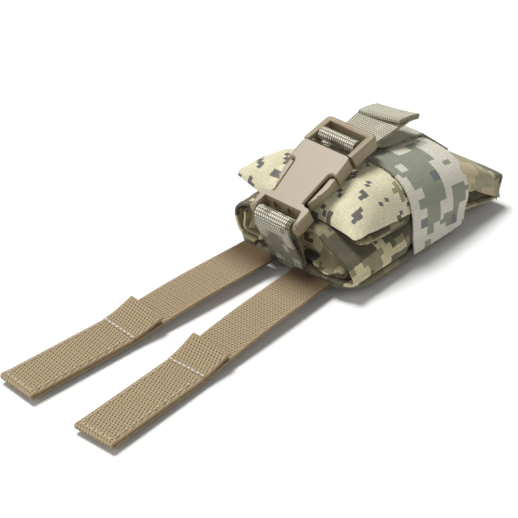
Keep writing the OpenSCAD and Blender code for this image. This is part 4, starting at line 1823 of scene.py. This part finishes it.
@dataclass(frozen=True)
class Rim:
    """The edges of a moulding that get a full fillet: those round its broad faces and its rounded nose."""

    up: Vector
    away: Vector
    nose: float = 0.0

    def edges(self, mesh: bmesh.types.BMesh) -> list[bmesh.types.BMEdge]:
        """Finds the edges.

        Args:
            mesh: the moulding.

        Returns:
            Its sharp convex edges of that kind, without those of sides that look away to the other half.
        """
        end = min(v.co.dot(self.away) for v in mesh.verts) + self.nose
        found = []
        for edge in mesh.edges:
            if not edge.is_manifold or not edge.is_convex or edge.calc_face_angle(0) < SHARP:
                continue
            side, broad = sorted(edge.link_faces, key=lambda f: abs(f.normal.dot(self.up)))
            rim = abs(broad.normal.dot(self.up)) > 0.95 and abs(side.normal.dot(self.up)) < 0.3
            flat = sorted(abs(f.normal.x) for f in edge.link_faces)
            place = (edge.verts[0].co + edge.verts[1].co) / 2
            nose = place.dot(self.away) < end and flat[0] < 0.05 and flat[1] > 0.95
            if (rim or nose) and side.normal.dot(self.away) < 0.7:
                found.append(edge)
        return found


@dataclass
class Buckle(SubAssembly):
    """The side-release buckle and its webbing."""

    socket_face: float = 40.0
    slot_l: float = 7.4
    bar_r: float = 1.9
    frame_l: float = 21.5
    frame_t: float = 9.0
    tension_v: float = 9.0
    fillet: float = 1.5
    small_edge: float = 0.6
    prong_edge: float = 0.5
    tail_l: float = 34.5
    tail_fold: float = 15.5
    tail_yaw: float = 3.0
    tail_skew: float = 14.0
    tail_rise: float = 2.4
    tail_shift: float = 1.6
    tail_bend: float = 0.8
    tail_slack: float = 0.9
    tail_cup: float = 0.5
    tail_twist: float = 1.3
    foot_shift: float = 3.2
    foot_slack: float = 0.6
    anchor_land: float = 14.0
    anchor_seam: float = 0.78
    anchor_seam_half: float = 10.5

    def __post_init__(self) -> None:
        """Works out where the webbing turns and ends."""
        lay = self.layout
        self.turn_r = self.bar_r + 0.15 + lay.web_t / 2
        self.upper_w = -(self.frame_t + lay.gap + lay.web_t / 2)
        self.lower_w = self.upper_w - lay.web_t - lay.gap
        self.leg_end = self.frame_l + 1.5
        self.x = Vector((1, 0, 0))

    def build(self) -> None:
        """Makes the buckle's pieces."""
        lay = self.layout
        along = lay.on_buckle(1, 0) - lay.on_buckle(0, 0)
        socket = Rim(lay.on_buckle(0, 1) - lay.on_buckle(0, 0), along, lay.socket_t / 2)
        self.moulding("socket_moulding", "buckle_socket", "pouch", self.small_edge, socket)
        plug = Rim(lay.on_frame(0, 1) - lay.on_frame(0, 0), -along)
        self.moulding("plug_moulding", "buckle_plug", "plug", self.small_edge, plug)
        for side in Side:
            node = f"prong_{side.word}"
            self.moulding(f"prong_moulding_{side.word}", node, node, self.prong_edge)
        self.front_webbing()
        self.loop()
        self.tail()
        self.anchor()

    def moulding(self, name: str, node: str, body: str, radius: float, rim: Rim | None = None) -> None:
        """Rounds the edges of a copy of a CAD node, as a mould does.

        Args:
            name: the new piece's name.
            node: the CAD node.
            body: the body that it rides on.
            radius: radius of the small edges, in millimetres.
            rim: the edges that get a full fillet.
        """
        made = bmesh.new()
        made.from_mesh(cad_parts[node].data)
        bmesh.ops.scale(made, vec=(1 / MM, 1 / MM, 1 / MM), verts=made.verts)
        bmesh.ops.remove_doubles(made, verts=made.verts, dist=0.005)
        bmesh.ops.dissolve_limit(
            made, angle_limit=math.radians(1), use_dissolve_boundaries=False, verts=made.verts,
            edges=made.edges
        )
        made.normal_update()
        if rim:
            bevel(made, rim.edges(made), self.fillet, segments=5)
        sharp = [e for e in made.edges if e.is_manifold and e.calc_face_angle(0) > SHARP]
        bevel(made, sharp, radius, segments=3, clamp=True)
        piece = new_object(name, made)
        modify(piece, "even_faces", "WEIGHTED_NORMAL", mode="FACE_AREA", weight=100)
        dress(piece, self.finishes.moulded, Slot.MOULDED, body, node)

    def front_webbing(self) -> None:
        """Makes the doubled webbing from the panel's front edge round the socket's bar."""
        lay = self.layout
        half = lay.web_t / 2
        r = self.turn_r + self.foot_slack
        bar = lay.on_buckle(-(self.socket_face + self.slot_l + self.bar_r), -lay.socket_t / 2) + yz(0.5, 0.5)
        foot = Vector((lay.buckle_x + self.foot_shift, lay.panel_front, lay.deck_z - 0.4))
        outer, inner = bar + yz(-r, 0), bar + yz(r, 0)
        line = curve(foot + yz(-half, 0), foot + yz(-half - 0.8, 9), outer + yz(0.2, -10), outer, count=18)
        turn = arc((bar.y, bar.z), r, start=180, sweep=-180, count=14)
        line += [Vector((bar.x, y, z)) for y, z in turn[1:]]
        line += curve(inner, inner + yz(-0.6, -9), foot + yz(half + 0.1, 9), foot + yz(half, 0), count=18)[1:]
        piece = ribbon("front_webbing_strap", line, self.x, lay.web_w, lay.web_t)
        dress(piece, self.finishes.printed, Slot.PRINTED, "pouch", "front_webbing")

    def loop(self) -> None:
        """Makes the webbing round the plug's tension bar, with both layers leading out below."""
        lay = self.layout
        spot = lay.on_frame
        v, w, r, end = self.tension_v, -self.frame_t / 4, self.turn_r, self.leg_end
        line = curve(
            spot(end, self.lower_w), spot(end - 8, self.lower_w - 0.6), spot(v + 3, w - r - 0.6),
            spot(v, w - r), count=14
        )
        line += [spot(*place) for place in arc((v, w), r, start=-90, sweep=-290, count=24)[1:]]
        line += curve(
            line[-1], spot(v + r + 1, w - 4.5), spot(end - 9, self.upper_w - 1.4),
            spot(end, self.upper_w), count=14
        )[1:]
        piece = ribbon("plug_webbing_loop", line, self.x, lay.web_w, lay.web_t)
        dress(piece, self.finishes.printed, Slot.PRINTED, "plug", "webbing_loop")

    def tail(self) -> None:
        """Makes the free tail, with its end folded back over it."""
        lay = self.layout
        t, length, fold, rise = lay.web_t, self.tail_l, self.tail_fold, self.tail_rise
        yaw = math.radians(self.tail_yaw)
        skew = lay.web_w / 2 * math.tan(math.radians(self.tail_skew))
        start = lay.on_frame(self.leg_end + lay.gap + t / 2, self.upper_w)
        heading = Vector((-math.sin(yaw), math.cos(yaw), 0))
        before = length - fold
        shape = curve(
            Vector((0, 0)), Vector((length * 0.25, rise * 0.3)), Vector((length * 0.45, rise * 1.07)),
            Vector((before, rise)), count=12
        )
        flat = [Vector((before + fold * k, rise * (1 - 0.9 * k ** 2))) for k in shares(10)[1:]]
        turn = arc((flat[-1].x, flat[-1].y + t / 2), self.tail_bend, start=-90, sweep=180, count=6)[1:]
        back = [
            p + Vector((0, t + self.tail_slack * (1 - (p.x - before) / fold) ** 2))
            for p in reversed(flat[:-1])
        ]
        back.append(shape[-1] + Vector((-2.0, t + self.tail_slack)))
        line = [start + heading * s + yz(0, z) for s, z in [*shape, *flat, *turn, *back]]

        def askew(a: float, b: float) -> tuple[float, float, float]:
            """Turns the folded end, and lets the webbing's left side stand up before it.

            Args:
                a: the place across, from -1 to 1.
                b: the place along, from 0 to 1.

            Returns:
                The move.
            """
            grow = ease(b * 2.6)
            wave = self.tail_cup * a * a * grow - self.tail_twist * a * math.sin(math.pi * min(b * 2.2, 1))
            return self.tail_shift * grow, skew * a * grow, wave

        piece = ribbon("tail_webbing", line, self.x, lay.web_w, t, shift=askew)
        dress(piece, self.finishes.paler_print, Slot.PRINTED, "tail", "webbing_tail")

    def anchor(self) -> None:
        """Makes the webbing from the plug over the band to its seam on the rear sheet."""
        lay = self.layout
        start = lay.on_frame(self.leg_end - 0.2, self.lower_w)
        land = lay.on_frame(self.leg_end + lay.gap + lay.web_t / 2, self.lower_w).y + self.anchor_land
        seam = lay.rear_from + (lay.rear_end - lay.rear_from) * self.anchor_seam

        def lying(y: float) -> Vector:
            """A place on the middle of the webbing, over the band and straight on to its seam.

            Args:
                y: the place along the pouch.

            Returns:
                The point.
            """
            high = lay.band_top(min(y, lay.band_rear)) + lay.band_t
            if y >= lay.band_rear:
                down = (y - lay.band_rear) / (seam - lay.band_rear)
                high = max(high + (lay.rear_top(seam) - high) * down, lay.rear_top(y))
            return Vector((lay.buckle_x, y, high + lay.gap + lay.web_t / 2))

        line = curve(start, start + yz(5, -1.0), lying(land - 5) + yz(0, 0.3), lying(land), count=10)
        line += [lying(land + (seam - land) * t) for t in shares(36)[1:]]
        piece = ribbon("anchor_strap", line, self.x, lay.web_w, lay.web_t)
        dress(piece, self.finishes.paler_print, Slot.PRINTED, "", "anchor_webbing")
        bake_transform(piece)
        seams = Stitching("anchor_stitches", length=2.2, radius=0.35)
        for k in (-1, -4):
            spot = line[k] + yz(-1.2, lay.web_t / 2 + 0.7)
            seams.run([spot + self.x * (side * self.anchor_seam_half) for side in (-1, 1)], pitch=2.6)
        dress(seams.build(), self.finishes.tan_thread, Slot.PRINTED, "pouch")


@dataclass(frozen=True)
class Lamp:
    """A far lamp: where it stands, how strong it is and how wide it looks, in degrees."""

    name: str
    heading: tuple[float, float, float]
    energy: float
    spread: float

    def build(self) -> None:
        """Hangs the lamp in the scene."""
        sun = bpy.data.lights.new(self.name, "SUN")
        sun.energy = self.energy
        sun.angle = math.radians(self.spread)
        made = bpy.data.objects.new(self.name, sun)
        made.rotation_euler = Vector(self.heading).to_track_quat("Z", "Y").to_euler()
        bpy.context.scene.collection.objects.link(made)


@dataclass
class Studio:
    """The floor, the light and the camera."""

    azimuth: float = math.radians(42.63)
    elevation: float = math.radians(33.72)
    distance: float = 923.5
    aim: tuple[float, float, float] = (-18.85, -41.88, 0.0)
    focal: float = 1668.9
    picture: float = 518.0
    sensor: float = 36.0
    floor_half: float = 3000.0
    floor_z: float = -2.2
    fill: float = 0.2
    lamps: tuple[Lamp, ...] = (
        Lamp("key", (-0.38, 0.04, 0.92), energy=3.05, spread=22.0),
        Lamp("side", (0.85, -0.2, 0.5), energy=0.25, spread=60.0),
        Lamp("front", (-0.4, -0.85, 0.32), energy=0.8, spread=60.0),
    )

    def build(self) -> None:
        """Sets up the studio."""
        self.floor()
        self.light()
        self.camera()

    def floor(self) -> None:
        """Lays a plain pale floor."""
        made = bmesh.new()
        bmesh.ops.create_grid(made, x_segments=2, y_segments=2, size=self.floor_half)
        bmesh.ops.translate(made, vec=(0, 0, self.floor_z), verts=made.verts)
        floor = new_object("floor", made)
        book = NodeBook("floor")
        x, y, _ = book.place(False)
        haze = book.cloud(x, y, 0.0, scale=0.002)
        colour = book.mix(haze, (0.9, 0.9, 0.9, 1), (0.93, 0.93, 0.93, 1))
        floor.data.materials.append(book.finish(colour, 0.9, haze, depth=0.001))

    def light(self) -> None:
        """Adds the lamps and an even fill all round."""
        for lamp in self.lamps:
            lamp.build()
        world = bpy.data.worlds.new("studio")
        world.use_nodes = True
        sky = world.node_tree.nodes["Background"]
        sky.inputs["Color"].default_value = (1.0, 1.0, 1.0, 1.0)
        sky.inputs["Strength"].default_value = self.fill
        bpy.context.scene.world = world

    def camera(self) -> None:
        """Places the camera as the photograph was taken."""
        lens = bpy.data.cameras.new("camera")
        lens.sensor_width = self.sensor
        lens.lens = self.focal / self.picture * self.sensor
        lens.clip_end = 20.0
        level = math.cos(self.elevation)
        back = Vector((
            math.sin(self.azimuth) * level, -math.cos(self.azimuth) * level, math.sin(self.elevation)
        ))
        eye = bpy.data.objects.new("camera", lens)
        eye.location = (Vector(self.aim) + back * self.distance) * MM
        eye.rotation_euler = back.to_track_quat("Z", "Y").to_euler()
        bpy.context.scene.collection.objects.link(eye)
        bpy.context.scene.camera = eye
        bpy.context.scene.view_settings.view_transform = "Standard"


def main() -> None:
    """Builds the studio and every piece of the pouch."""
    logging.basicConfig(level=logging.INFO, format="%(message)s")
    shared = (Layout(), Finishes())
    Studio().build()
    BackPanel(*shared).build()
    for side in Side:
        AttachmentStrap(*shared, side).build()
    for assembly in (Roll, TopFlap, RearFold, ElasticBand, Buckle):
        assembly(*shared).build()


if __name__ == "__main__":
    main()
